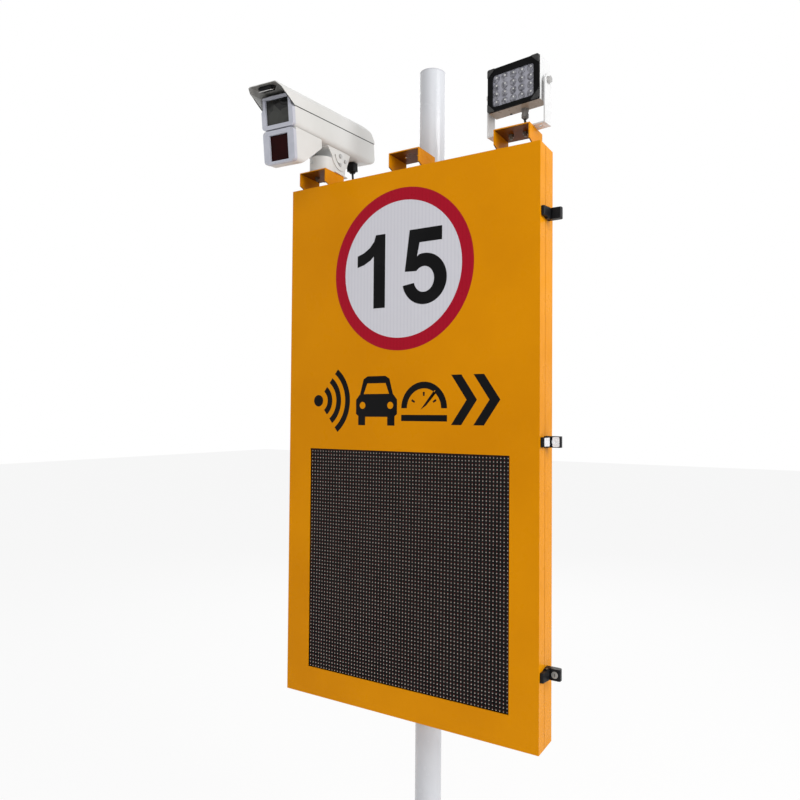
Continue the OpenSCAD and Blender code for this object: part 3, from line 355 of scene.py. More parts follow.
NODE_FINISHES: dict[str, Finish] = {
    "base_plate": ZINC, "mounting_rails": ZINC, "pole_u_bolts": ZINC, "u_bolt_nuts": ZINC,
    "pole_tube": POST_PAINT, "pole_cap": CAP_METAL, "rear_case": ORANGE_PAINT,
    "left_bracket": BRACKET_PAINT_AND_SHADE, "middle_bracket": BRACKET_PAINT_AND_SHADE, "right_bracket": BRACKET_PAINT_AND_SHADE,
    "hinge_case_leaves": ORANGE_PAINT, "door_shell": ORANGE_PAINT,
    "hinge_door_leaves": ORANGE_PAINT, "case_seal": SEAL_RUBBER, "hinge_pins": BRIGHT_STEEL,
    "latch_pins": BRIGHT_STEEL, "device_bolts": BOLT_METAL_SHADED, "camera_foot_screws": BRIGHT_STEEL,
    "din_rail": BRIGHT_STEEL, "power_supply": BRIGHT_STEEL, "flood_pivot_bolts": BRIGHT_STEEL,
    "latch_blocks": LATCH_BLACK, "latch_lever_top": LATCH_BLACK,
    "latch_lever_middle": LATCH_BLACK, "latch_lever_low": LATCH_BLACK,
    "control_board": BOARD_GREEN, "radar_board": BOARD_GREEN, "flood_led_board": BOARD_GREEN,
    "circuit_breaker": CASING_GREY, "terminal_block": CASING_GREY, "cable_glands": GLAND_BLACK,
    "flood_gland": GLAND_GREY, "camera_foot": DEVICE_PAINT, "tilt_shoe": DEVICE_PAINT,
    "camera_housing": DEVICE_PAINT, "camera_sunshield": SHIELD_PAINT_AND_SHADE, "radar_pod": DEVICE_PAINT,
    "camera_connector": LATCH_BLACK, "flood_arm": LAMP_WHITE, "flood_housing": LAMP_SHELL_AND_SHADE,
    "module_frame": FRAME_BLACK, "flood_frame": FRAME_BLACK, "led_row_1": MASK_BLACK,
    "led_row_2": MASK_BLACK, "led_row_3": MASK_BLACK, "led_row_4": MASK_BLACK,
    "roundel_disc": FILM_WHITE, "roundel_ring": FILM_RED, "lock_plug_top": LATCH_BLACK,
    # The middle lock plug takes the latch's painted reflection
    "lock_plug_middle": LATCH_PAINTED_REFLECTION, "lock_plug_low": KEY_METAL, "camera_bezel": BEZEL_PLASTIC,
    "pod_bezel": BEZEL_PLASTIC, "camera_window": DARK_PANE_WITH_REFLECTION, "pod_window": RED_PANE,
    "camera_lens": LENS_BLACK, "flood_lens_plate": LENS_PLATE,
    "flood_corner_clamps": CLAMP_GREY,
}


def turn(yaw: float, pitch: float = 0.0) -> np.ndarray:
    """Rotation matrix: first pitch about X, then yaw about Z, both in degrees.

    Args:
        yaw: turn about Z.
        pitch: turn about X, where a positive value raises the back.

    Returns:
        The 3 by 3 matrix.
    """
    a, b = math.radians(yaw), math.radians(pitch)
    about_z = np.array([[math.cos(a), -math.sin(a), 0], [math.sin(a), math.cos(a), 0], [0, 0, 1]])
    about_x = np.array([[1, 0, 0], [0, math.cos(b), -math.sin(b)], [0, math.sin(b), math.cos(b)]])
    return about_z @ about_x


@dataclass(frozen=True)
class Placement:
    """A device's own frame: where its pivot is in the sign, in the device, and how it is turned."""

    pivot: Point
    pivot_in_unit: Point
    yaw: float
    pitch: float = 0.0

    def to_sign(self, points: np.ndarray) -> np.ndarray:
        """Returns the points moved from the device's frame to the sign's."""
        matrix = turn(self.yaw, self.pitch)
        return (points - np.array(self.pivot_in_unit)) @ matrix.T + np.array(self.pivot)


CAMERA_FRAME = Placement(CAMERA_PIVOT, CAMERA_PIVOT_IN_UNIT, CAMERA_TURN, CAMERA_TILT)
LAMP_FRAME = Placement(LAMP_PIVOT, LAMP_PIVOT_IN_UNIT, LAMP_TURN)


@dataclass
class Surface:
    """Points and faces of one piece while it is put together."""

    points: np.ndarray = field(default_factory=lambda: np.zeros((0, 3)))
    faces: list[tuple[int, ...]] = field(default_factory=list)

    def add(self, other: "Surface") -> "Surface":
        """Returns this surface with the other one beside it."""
        shift = len(self.points)
        moved = [tuple(i + shift for i in face) for face in other.faces]
        return Surface(np.vstack([self.points, other.points]), self.faces + moved)

    def copies(self, places: np.ndarray) -> "Surface":
        """Returns one copy of the surface at each place, all in one mesh."""
        count = len(self.points)
        points = (places[:, None, :] + self.points[None, :, :]).reshape(-1, 3)
        faces = []
        for size in sorted({len(face) for face in self.faces}):
            table = np.array([face for face in self.faces if len(face) == size])
            shifts = (np.arange(len(places)) * count)[:, None, None]
            faces += [tuple(row) for row in (table[None] + shifts).reshape(-1, size).tolist()]
        return Surface(points, faces)

    def moved(self, change: "Placement") -> "Surface":
        """Returns the surface moved from a device's frame to the sign's."""
        return Surface(change.to_sign(self.points), self.faces)

    def made(self, name: str, finish: Finish, smooth: bool = True,
             weld: float = 0.0) -> bpy.types.Object:
        """Makes the Blender object, with outward faces, in the scene.

        Args:
            name: the piece's name.
            finish: its finish.
            smooth: whether its faces are shaded smooth.
            weld: distance within which its points become one.

        Returns:
            The object, which doesn't belong to any body yet.
        """
        mesh = bpy.data.meshes.new(name)
        mesh.from_pydata(self.points.tolist(), [], self.faces)
        work = bmesh.new()
        work.from_mesh(mesh)
        if weld > 0:
            bmesh.ops.remove_doubles(work, verts=work.verts, dist=weld)
        bmesh.ops.recalc_face_normals(work, faces=work.faces)
        work.to_mesh(mesh)
        work.free()
        mesh.polygons.foreach_set("use_smooth", np.full(len(mesh.polygons), smooth))
        mesh.materials.append(finish.build())
        mesh.update()
        made = bpy.data.objects.new(name, mesh)
        bpy.context.scene.collection.objects.link(made)
        return made

    def piece(self, name: str, finish: Finish, body: str, slot: str,
              smooth: bool = True, weld: float = 0.0) -> bpy.types.Object:
        """Makes the Blender object and lets it ride on its body.

        Args:
            name: the piece's name.
            finish: its finish.
            body: the body that it moves with.
            slot: the record's material slot; not used.
            smooth: whether its faces are shaded smooth.
            weld: distance within which its points become one.

        Returns:
            The finished object.
        """
        made = self.made(name, finish, smooth, weld)
        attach(made, body)
        return made


def revolve(profile: np.ndarray, centre: Point, axis: str, sides: int) -> Surface:
    """Turns a profile of (radius, height) rows about an axis.

    A point is centre + height along the axis + radius times (cos, sin) of an angle that runs
    round in equal steps.

    Args:
        profile: rows of radius and height along the axis, in metres.
        centre: where height 0 lies.
        axis: one of x, y, z, -y or -z, along which the height grows.
        sides: number of steps round.

    Returns:
        The closed surface, with a flat face at each end.
    """
    angle = np.linspace(0, 2 * math.pi, sides, endpoint=False)
    radius, height = profile[:, 0], profile[:, 1]
    u = radius[:, None] * np.cos(angle)[None]
    v = radius[:, None] * np.sin(angle)[None]
    w = np.repeat(height[:, None], sides, axis=1)
    order = {"z": (u, v, w), "-z": (u, -v, -w), "y": (u, w, -v), "-y": (u, -w, v), "x": (w, u, v)}
    points = np.stack(order[axis], axis=-1).reshape(-1, 3) + np.array(centre)
    rows = len(profile)
    faces = grid_faces(rows, sides)
    faces.append(tuple(range(sides))[::-1])
    faces.append(tuple(range((rows - 1) * sides, rows * sides)))
    return Surface(points, faces)


def grid_faces(rows: int, sides: int) -> list[tuple[int, ...]]:
    """Returns the quads of a grid that closes on itself round its second parameter."""
    row, side = np.meshgrid(np.arange(rows - 1), np.arange(sides), indexing="ij")
    nxt = (side + 1) % sides
    quads = np.stack([row * sides + side, row * sides + nxt, (row + 1) * sides + nxt,
                      (row + 1) * sides + side], axis=-1)
    return [tuple(q) for q in quads.reshape(-1, 4).tolist()]


def tube(route: np.ndarray, radius: float, sides: int = 16) -> Surface:
    """Carries a circle along a smooth curve through the route's points.

    Each span is a Catmull-Rom curve. The circle's first axis is carried along by removing its
    part along the tangent, so the tube doesn't twist.

    Args:
        route: the points, in metres.
        radius: the tube's radius.
        sides: number of steps round.

    Returns:
        The closed tube.
    """
    padded = np.vstack([2 * route[0] - route[1], route, 2 * route[-1] - route[-2]])
    t = np.linspace(0, 1, 8, endpoint=False)[:, None]
    spans = []
    for k in range(len(route) - 1):
        a, b, c, d = padded[k:k + 4]
        spans.append(0.5 * (2 * b + (c - a) * t + (2 * a - 5 * b + 4 * c - d) * t ** 2
                            + (3 * b - a - 3 * c + d) * t ** 3))
    path = np.vstack(spans + [route[-1:]])
    tangent = np.gradient(path, axis=0)
    tangent /= np.linalg.norm(tangent, axis=1)[:, None]
    side = np.cross(tangent, [1.0, 0.2, 0.1])
    side /= np.linalg.norm(side, axis=1)[:, None]
    up = np.cross(tangent, side)
    angle = np.linspace(0, 2 * math.pi, sides, endpoint=False)
    ring = side[:, None] * np.cos(angle)[None, :, None] + up[:, None] * np.sin(angle)[None, :, None]
    points = (path[:, None] + radius * ring).reshape(-1, 3)
    faces = grid_faces(len(path), sides)
    faces.append(tuple(range(sides))[::-1])
    faces.append(tuple(range((len(path) - 1) * sides, len(path) * sides)))
    return Surface(points, faces)


def block(low: Point, high: Point, bevel: float = 0.0) -> Surface:
    """A box whose edges along Y are cut by a bevel.

    Args:
        low: lowest corner.
        high: highest corner.
        bevel: size of the cut.

    Returns:
        The closed prism.
    """
    x0, y0, z0 = low
    x1, y1, z1 = high
    b = max(bevel, 1e-5)
    outline = np.array([[x1 - b, z0], [x1, z0 + b], [x1, z1 - b], [x1 - b, z1], [x0 + b, z1],
                        [x0, z1 - b], [x0, z0 + b], [x0 + b, z0]])
    count = len(outline)
    front = np.column_stack([outline[:, 0], np.full(count, y0), outline[:, 1]])
    back = np.column_stack([outline[:, 0], np.full(count, y1), outline[:, 1]])
    faces = grid_faces(2, count)
    faces.append(tuple(range(count)))
    faces.append(tuple(range(count, 2 * count))[::-1])
    return Surface(np.vstack([front, back]), faces)


def arc(cx: float, cz: float, rx: float, rz: float, start: float, end: float,
        steps: int = 24) -> Loop:
    """Returns points of an elliptic arc from start to end, in degrees."""
    angle = np.radians(np.linspace(start, end, steps))
    return np.column_stack([cx + rx * np.cos(angle), cz + rz * np.sin(angle)])


def band(cx: float, cz: float, inner: float, outer: float, start: float, end: float) -> Loop:
    """Returns the outline of a ring's part between two radii and two angles."""
    return np.vstack([arc(cx, cz, outer, outer, start, end), arc(cx, cz, inner, inner, end, start)])


def film(name: str, loops: list[Loop], centre: tuple[float, float], face: float, thick: float,
         finish: Finish, slot: str) -> bpy.types.Object:
    """Cuts a flat film shape from closed outlines and lays it on the door.

    Outlines inside another one are holes. A flat curve fills them, and its mesh is turned so
    that its height runs up and its thickness to the front.

    Args:
        name: the piece's name.
        loops: outlines in millimetres, to the right and up from the centre.
        centre: the shape's centre on the door, in millimetres.
        face: depth of the surface that it lies on, in metres.
        thick: thickness of the film, in metres.
        finish: its finish.
        slot: the record's material slot.

    Returns:
        The finished piece.
    """
    curve = bpy.data.curves.new(name + "_outline", "CURVE")
    curve.dimensions = "2D"
    curve.fill_mode = "BOTH"
    curve.extrude = thick / 2
    for loop in loops:
        spline = curve.splines.new("POLY")
        spline.points.add(len(loop) - 1)
        flat = np.column_stack([loop * MM, np.zeros(len(loop)), np.ones(len(loop))])
        spline.points.foreach_set("co", flat.ravel())
        spline.use_cyclic_u = True
    drawn = bpy.data.objects.new(name + "_outline", curve)
    bpy.context.scene.collection.objects.link(drawn)
    bpy.context.view_layer.update()
    mesh = bpy.data.meshes.new_from_object(drawn.evaluated_get(bpy.context.evaluated_depsgraph_get()))
    flat = np.empty(len(mesh.vertices) * 3)
    mesh.vertices.foreach_get("co", flat)
    flat = flat.reshape(-1, 3)
    faces = [tuple(p.vertices) for p in mesh.polygons]
    bpy.data.objects.remove(drawn)
    points = np.column_stack([flat[:, 0] + centre[0] * MM, face - thick / 2 - flat[:, 2],
                              flat[:, 1] + centre[1] * MM])
    shape = Surface(points, faces)
    return shape.piece(name, finish, "door", slot, smooth=False, weld=1e-6)


@dataclass
class Cabinet:
    """The painted cabinet with its films, screws and hinge fixings."""

    film_lift: float = 0.0002
    digit_height: float = 207.0
    row_centre: float = 1561.0
    row_start: float = -313.0
    row_pitch: float = 155.0
    sign_size: float = 147.0
    hinge_pitch: float = 0.571
    screw_pitch: float = 0.026
    screw_from_edge: float = 0.014
    leaf_thickness: float = 0.002
    foot_thickness: float = 0.003
    foot_screw_from_end: float = 0.0105
    foot_screw_depths: tuple[float, float] = (-0.104, -0.084)

    def dress(self) -> None:
        """Makes the digits, the four generic signs, and the small fixings."""
        self.digits()
        self.signs()
        self.screws()

    def digits(self) -> None:
        """Lays the digits of the speed limit on the white disc."""
        low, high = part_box("roundel_disc")
        centre = ((low[0] + high[0]) * 500, (low[2] + high[2]) * 500)
        half = self.digit_height / 2
        one = np.vstack([[[-52, half], [-52, -half], [-91, -half], [-91, 44]],
                         [[-102, 34], [-124, 23], [-147, 17], [-147, 50]],
                         [[-125, 57], [-104, 70], [-90, 86], [-84, half]]])
        five = np.vstack([[[28, half], [130, half], [130, 66], [60, 66], [52, 28]],
                          arc(75, -34, 70, 69.5, 104, -168, 40),
                          [[42, -43]], arc(74, -35, 32, 35, -165, 138, 30), [[13, -10]]])
        face = low[1]
        film("digit_one", [one], centre, face, self.film_lift, FILM_BLACK, "led_black")
        film("digit_five", [five], centre, face, self.film_lift, FILM_BLACK, "led_black")

    def signs(self) -> None:
        """Lays four generic black signs in the row under the roundel."""
        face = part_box("door_shell")[0][1]
        half = self.sign_size / 2
        shapes = [self.waves(half), self.car(half), self.gauge(half), self.chevrons(half)]
        for number, loops in enumerate(shapes):
            centre = (self.row_start + half + number * self.row_pitch, self.row_centre)
            film(f"row_sign_{number + 1}", loops, centre, face, self.film_lift, FILM_BLACK,
                 "led_black")

    @staticmethod
    def waves(half: float) -> list[Loop]:
        """Returns a sender with three spreading waves."""
        dot = arc(-half + 22, 0, 17, 17, 0, 350, 28)
        rings = [band(-half + 22, 0, r, r + 17, -52, 52) for r in (34, 66, 98)]
        return [dot, *rings]

    @staticmethod
    def car(half: float) -> list[Loop]:
        """Returns a car seen from the front, with its windscreen and lamps cut out."""
        body = np.array([[-half + 4, -38], [-half + 4, 2], [-half + 18, 18], [-44, 60], [-30, 68],
                         [30, 68], [44, 60], [half - 18, 18], [half - 4, 2], [half - 4, -38],
                         [half - 12, -44], [half - 12, -70], [half - 36, -70], [half - 36, -46],
                         [-half + 36, -46], [-half + 36, -70], [-half + 12, -70],
                         [-half + 12, -44]])
        screen = np.array([[-43, 18], [-31, 48], [31, 48], [43, 18]])
        lamps = [arc(side * 47, -14, 10, 10, 0, 345, 24) for side in (-1, 1)]
        return [body, screen, *lamps]

    @staticmethod
    def gauge(half: float) -> list[Loop]:
        """Returns a dial with its needle and foot."""
        ring = band(0, -22, half - 20, half - 2, 0, 180)
        foot = np.array([[-half + 2, -40], [half - 2, -40], [half - 2, -57], [-half + 2, -57]])
        needle = np.array([[-10, -26], [8, -14], [36, 26], [30, 24]])
        ticks = [band(0, -22, 33, 44, a - 4, a + 4) for a in (30, 90, 150)]
        return [ring, foot, needle, *ticks]

    @staticmethod
    def chevrons(half: float) -> list[Loop]:
        """Returns two chevrons that point to the right."""
        wide, thick = half * 0.62, 30.0
        one = np.array([[0, 66], [thick, 66], [thick + wide, 0], [thick, -66], [0, -66],
                        [wide, 0]])
        return [one + [-half + 2, 0], one + [-6, 0]]

    def screws(self) -> None:
        """Sets screws in the hinge leaves and in the feet of the brackets."""
        head = revolve(np.array([[0.0034, 0.0], [0.0032, 0.0009], [0.0018, 0.0016]]), (0, 0, 0),
                       "z", 12)
        leaf = Surface(np.column_stack([-head.points[:, 2], head.points[:, 1], head.points[:, 0]]),
                       head.faces)
        for node, name, body in (("hinge_case_leaves", "case_hinge_screws", "post_and_case"),
                                 ("hinge_door_leaves", "door_hinge_screws", "door")):
            low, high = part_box(node)
            inner, outer = low[1], high[1]
            on_door = body == "door"
            depth = inner + self.screw_from_edge if on_door else outer - self.screw_from_edge
            middle = (low[2] + high[2]) / 2
            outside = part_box("door_shell")[0][0] - self.leaf_thickness
            places = [(outside, depth, middle + step * self.hinge_pitch + rise)
                      for step in (-1, 0, 1)
                      for rise in (-self.screw_pitch, 0.0, self.screw_pitch)]
            leaf.copies(np.array(places)).piece(name, BRIGHT_STEEL, body, "steel")
        places = []
        for node in ("left_bracket", "middle_bracket", "right_bracket"):
            low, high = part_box(node)
            ends = (low[0] + self.foot_screw_from_end, high[0] - self.foot_screw_from_end)
            places += [(x, y, low[2] + self.foot_thickness) for x in ends
                       for y in self.foot_screw_depths]
        head.copies(np.array(places)).piece("bracket_foot_screws", BRIGHT_STEEL, "post_and_case",
                                            "steel")


@dataclass
class Latches:
    """The three lever latches: blocks with ears, wedge levers, and painted reflections on the middle
    one's faces.
    """

    names: tuple[str, str, str] = ("top", "middle", "low")
    side: float = 0.400
    front: float = -0.116
    pivot: tuple[float, float] = (0.406, -0.1215)
    hub: float = 0.0055
    heel: float = 0.0074
    tip: float = -0.1525
    half_lever: float = 0.012
    half_block: float = 0.0142
    edge: float = 0.0009
    back: float = -0.100
    outer: float = 0.4392
    lever_outer: float = 0.4094
    lever_chamfer: float = 0.0022
    heel_gap: float = 0.0009
    ear_gap: float = 0.0003
    side_gap: float = 0.0004
    rivet_head: float = 0.0012
    plate_half: float = 0.0002

    def dress(self) -> None:
        """Makes the blocks in one piece and each lever by itself."""
        heights = [self.middle_of(f"latch_lever_{name}") for name in self.names]
        block = self.block()
        places = np.array([(0.0, 0.0, z) for z in heights])
        blocks = block.copies(places).piece("latch_bodies", LATCH_BLACK, "post_and_case",
                                            "black_latch", smooth=False)
        self.soften(blocks)
        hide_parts("latch_blocks")
        for name, height in zip(self.names, heights):
            lever = self.lever().copies(np.array([(0.0, 0.0, height)]))
            made = lever.piece(f"lever_{name}", LATCH_BLACK, f"lever_{name}", "black_latch",
                               smooth=False)
            self.soften(made)
            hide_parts(f"latch_lever_{name}")
        self.rivets(heights)
        self.painted_reflection_faces(heights[1])

    def rivets(self, heights: list[float]) -> None:
        """The heads of the levers' rivets, set in the ears above and below each lever."""
        low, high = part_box("latch_pins")
        radius = (high[0] - low[0]) / 2
        ear = self.half_block
        root, head = ear - self.rivet_head, ear + self.rivet_head
        half = np.array([[radius, root], [radius, ear - 0.0001], [radius * 1.4, ear],
                         [radius * 1.3, head - 0.0006], [radius * 0.6, head]])
        centre = (*self.pivot, 0.0)
        upper = revolve(half, centre, "z", 16)
        lower = revolve(half[::-1] * (1.0, -1.0), centre, "z", 16)
        rivet = upper.add(lower)
        places = np.array([(0.0, 0.0, z) for z in heights])
        made = rivet.copies(places).piece("latch_rivets", BOLT_METAL_SHADED, "post_and_case", "steel")
        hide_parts("latch_pins")

    @staticmethod
    def middle_of(node: str) -> float:
        """Returns the height of a node's middle."""
        low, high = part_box(node)
        return (low[2] + high[2]) / 2

    def soften(self, made: bpy.types.Object) -> None:
        """Rounds the piece's sharp edges."""
        bevel = made.modifiers.new("rounded_edges", "BEVEL")
        bevel.width = self.edge
        bevel.segments = 2
        bevel.limit_method = "ANGLE"
        bevel.angle_limit = math.radians(40)

    @staticmethod
    def prism(outline: np.ndarray, low: float, high: float) -> Surface:
        """Carries a closed outline in plan from one height to another, with both ends closed."""
        count = len(outline)
        rings = [np.column_stack([outline, np.full(count, z)]) for z in (low, high)]
        faces = grid_faces(2, count)
        faces += [tuple(range(count))[::-1], tuple(range(count, 2 * count))]
        return Surface(np.vstack(rings), faces)

    def block(self) -> Surface:
        """Returns a block about height 0, hollowed round the lever's heel, with its two ears."""
        x, y = self.pivot
        radius = self.heel + self.heel_gap
        hollow = arc(x, y, radius, radius, 136, 50, 8)
        outline = np.vstack([[[self.side, self.back], [self.side, -0.1152]], hollow,
                             [[0.4175, self.front], [0.4365, self.front],
                              [self.outer, -0.1132], [self.outer, -0.104],
                              [0.4352, self.back]]])
        ear = np.array([[self.side, -0.1155], [self.side, -0.1275], [0.4085, -0.1275],
                        [0.4118, -0.1238], [0.4118, -0.1155]])
        block = self.prism(outline, -self.half_block, self.half_block)
        inside = self.half_lever + self.ear_gap
        for low, high in ((-self.half_block, -inside), (inside, self.half_block)):
            block = block.add(self.prism(ear, low, high))
        return block

    def lever(self) -> Surface:
        """Returns a wedge lever about height 0, with its round heel at the pivot."""
        x, y = self.pivot
        inner = self.side + self.side_gap
        outline = np.vstack([[[inner, y], [inner, self.tip + 0.001], [inner + 0.001, self.tip],
                              [self.lever_outer - self.lever_chamfer, self.tip],
                              [self.lever_outer, self.tip + self.lever_chamfer]],
                             arc(x, y, self.heel, self.heel, 0, 45, 6),
                             arc(x, y, self.hub, self.hub, 60, 170, 8)])
        return self.prism(outline, -self.half_lever, self.half_lever)

    def painted_reflection_faces(self, height: float) -> None:
        """Painted reflection on the middle latch: a bright plate on its lever and one on its block.
        """
        start = np.array([self.lever_outer, self.tip + self.lever_chamfer])
        end = np.array([self.pivot[0] + self.heel, self.pivot[1]])
        along = (end - start) / np.linalg.norm(end - start)
        out = np.array([along[1], -along[0]]) * self.plate_half
        first, last = start + along * 0.0012, end - along * 0.0012
        plate = np.array([first - out, last - out, last + out, first + out])
        rise = self.half_lever - 0.0014
        plate = self.prism(plate, height - rise, height + rise)
        plate.piece("lever_reflection_middle", LATCH_PAINTED_REFLECTION, "lever_middle", "black_latch", smooth=False)
        rise = self.half_block - 0.0018
        face = block((0.4180, self.front - 0.0002, height - rise),
                     (0.4360, self.front + 0.0003, height + rise), 0.002)
        face.piece("block_reflection_middle", LATCH_PAINTED_REFLECTION, "post_and_case", "black_latch", smooth=False)


@dataclass
class Display:
    """The lamps of the LED modules: one red above one pale in each pixel."""

    pitch: float = 0.010
    columns: int = 64
    rows: int = 16
    lamp_radius: float = 0.0017
    lamp_height: float = 0.0018
    red_rise: float = 0.0066
    pale_rise: float = 0.0030
    rib_depth: float = 0.002
    sides: int = 6

    def dress(self) -> None:
        """Makes one piece of red and one of pale lamps for each row of modules."""
        for number in range(1, 5):
            node = f"led_row_{number}"
            self.lamps(node, "red_lamps", self.red_rise, 0.82, LAMP_RED)
            self.lamps(node, "pale_lamps", self.pale_rise, 1.0, LAMP_PALE)

    def lamps(self, node: str, name: str, rise: float, scale: float, finish: Finish) -> None:
        """Sets a lamp in every pixel of a row of modules.

        Args:
            node: the modules' node.
            name: name of the pieces.
            rise: height of the lamp above its pixel's lower edge.
            scale: size of the lamp against the pale ones.
            finish: the lamp's finish.
        """
        low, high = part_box(node)
        size = self.lamp_radius * scale
        profile = np.array([[size, 0.0], [size, 0.5 * self.lamp_height],
                            [0.6 * size, 0.9 * self.lamp_height], [0.0, self.lamp_height]])
        start = (low[0] + high[0]) / 2 - self.columns * self.pitch / 2
        bottom = (low[2] + high[2]) / 2 - self.rows * self.pitch / 2
        across = start + self.pitch * (np.arange(self.columns) + 0.5)
        up = bottom + self.pitch * np.arange(self.rows) + rise
        grid_x, grid_z = np.meshgrid(across, up)
        depth = np.full(grid_x.size, low[1] + self.rib_depth + 0.0001)
        places = np.column_stack([grid_x.ravel(), depth, grid_z.ravel()])
        lamp = dome(profile, self.sides)
        lamp.copies(places).piece(f"{name}_{node[-1]}", finish, "door", "led_black")


def dome(profile: np.ndarray, sides: int) -> Surface:
    """Turns a profile whose last row is its tip about Y, towards the front.

    The tip is one point and the foot is one face, so the dome is closed with few faces.

    Args:
        profile: rows of radius and height.
        sides: number of steps round.

    Returns:
        The closed dome.
    """
    angle = np.linspace(0, 2 * math.pi, sides, endpoint=False)
    radius, height = profile[:-1, 0], profile[:-1, 1]
    u = radius[:, None] * np.cos(angle)[None]
    v = radius[:, None] * np.sin(angle)[None]
    w = np.repeat(-height[:, None], sides, axis=1)
    points = np.vstack([np.stack([u, w, v], axis=-1).reshape(-1, 3), [[0, -profile[-1, 1], 0]]])
    rows = len(profile) - 1
    tip = rows * sides
    last = (rows - 1) * sides
    fan = [(last + k, last + (k + 1) % sides, tip) for k in range(sides)]
    return Surface(points, grid_faces(rows, sides) + fan + [tuple(range(sides))[::-1]])


@dataclass
class CameraUnit:
    """Small parts of the camera unit: its catch, seam trim, bezel screws and lens glass."""

    seam_half: float = 0.0538

    def dress(self) -> None:
        """Makes the pieces and puts them in the unit's own frame."""
        self.clip()
        self.seam_trim()
        self.bezel_screws()
        self.lens_glass()

    def clip(self) -> None:
        """A black catch with a bright wire under the sunshield's front."""
        top = 0.0986
        body = block((-0.020, -0.044, top - 0.009), (0.020, -0.026, top), 0.002)
        body = body.add(block((-0.026, -0.040, top - 0.006), (-0.019, -0.030, top), 0.001))
        body = body.add(block((0.019, -0.040, top - 0.006), (0.026, -0.030, top), 0.001))
        body.moved(CAMERA_FRAME).piece("shield_catch", LATCH_BLACK, "camera_head", "lens_black",
                                       smooth=False)
        route = np.array([(-0.023, -0.034, top - 0.006), (-0.024, -0.040, top - 0.012),
                          (-0.018, -0.046, top - 0.014), (0.0, -0.047, top - 0.0145),
                          (0.018, -0.046, top - 0.014), (0.024, -0.040, top - 0.012),
                          (0.023, -0.034, top - 0.006)])
        tube(route, 0.0012, 10).moved(CAMERA_FRAME).piece("shield_catch_wire", BRIGHT_STEEL,
                                                          "camera_head", "steel")

    def seam_trim(self) -> None:
        """The black rubber edge of the sunshield, from its slanted front back along the seam."""
        rear, seam = 0.4275, 0.0548
        for side, name in ((-1, "left"), (1, "right")):
            wide = side * self.seam_half
            route = np.array([(wide - side * 0.0015, -0.030, 0.0795), (wide, -0.010, 0.0668),
                              (wide, 0.004, 0.0578), (wide, 0.012, seam), (wide, 0.030, seam),
                              (wide, 0.15, seam), (wide, 0.30, seam), (wide, rear, seam)])
            tube(route, 0.0011, 10).moved(CAMERA_FRAME).piece(
                f"shield_trim_{name}", SEAL_RUBBER, "camera_head", "seal_rubber")

    def bezel_screws(self) -> None:
        """Sunk screws in the lower bezel's corners."""
        head = dome(np.array([[0.0021, 0.0], [0.0019, 0.0005], [0.0, 0.0008]]), 12)
        places = np.array([(x, 0.0, z) for x in (-0.0455, 0.0455) for z in (-0.0905, -0.0085)])
        head.copies(places).moved(CAMERA_FRAME).piece("pod_bezel_screws", BRIGHT_STEEL,
                                                      "camera_head", "steel")

    def lens_glass(self) -> None:
        """The curved front glass of the lens, in its barrel behind the window."""
        rows = np.linspace(0, 1, 7)
        profile = np.column_stack([0.0195 * np.cos(rows * math.pi / 2),
                                   0.005 * np.sin(rows * math.pi / 2)])
        glass = dome(profile, 32)
        glass = Surface(glass.points + np.array([0.0, 0.0179, 0.0459]), glass.faces)
        # Painted reflection: the glass takes the dark pane finish with its grey reflection patches
        glass.moved(CAMERA_FRAME).piece("lens_front_glass", DARK_PANE_WITH_REFLECTION, "camera_head", "dark_glass")


@dataclass
class Floodlight:
    """The floodlight's lens domes, pale dots of painted highlight in them, and the drain plug under
    the housing.
    """

    pitch_x: float = 0.025
    pitch_z: float = 0.021
    middle_z: float = -0.0035
    face: float = 0.0032
    radius: float = 0.0100
    height: float = 0.0029

    def dress(self) -> None:
        """Makes the pieces and puts them in the floodlight's own frame."""
        across = (np.arange(5) - 2) * self.pitch_x
        up = self.middle_z + (np.arange(4) - 1.5) * self.pitch_z
        grid_x, grid_z = np.meshgrid(across, up)
        places = np.column_stack([grid_x.ravel(), np.full(20, self.face), grid_z.ravel()])
        rows = np.linspace(0, 1, 8)
        radius = self.radius + 0.0002
        profile = np.column_stack([radius * np.cos(rows * math.pi / 2),
                                   self.height * np.sin(rows * math.pi / 2) + 0.0001])
        dome(profile, 32).copies(places).moved(LAMP_FRAME).piece(
            "lens_domes", LENS_DOME_AND_HIGHLIGHT, "flood_head", "lens_clear")
        # Painted highlight: a pale dot off the centre of each lens dome
        highlight_dot = dome(np.array([[0.0022, 0.0], [0.0020, 0.0003], [0.0, 0.0005]]), 16)
        shift = np.array([0.0022, -0.00262, 0.0018])
        highlight_dot.copies(places + shift).moved(LAMP_FRAME).piece(
            "lens_painted_highlights", PALE_LENS_HIGHLIGHT, "flood_head", "lens_clear")
        self.plug()

    def plug(self) -> None:
        """The small blind plug beside the gland."""
        profile = np.array([[0.0032, 0.0], [0.0030, 0.0012]])
        plug = revolve(profile, (-0.0267, 0.0398, -0.056), "-z", 16)
        plug.moved(LAMP_FRAME).piece("lamp_drain_plug", LATCH_BLACK, "flood_head", "gland_black")


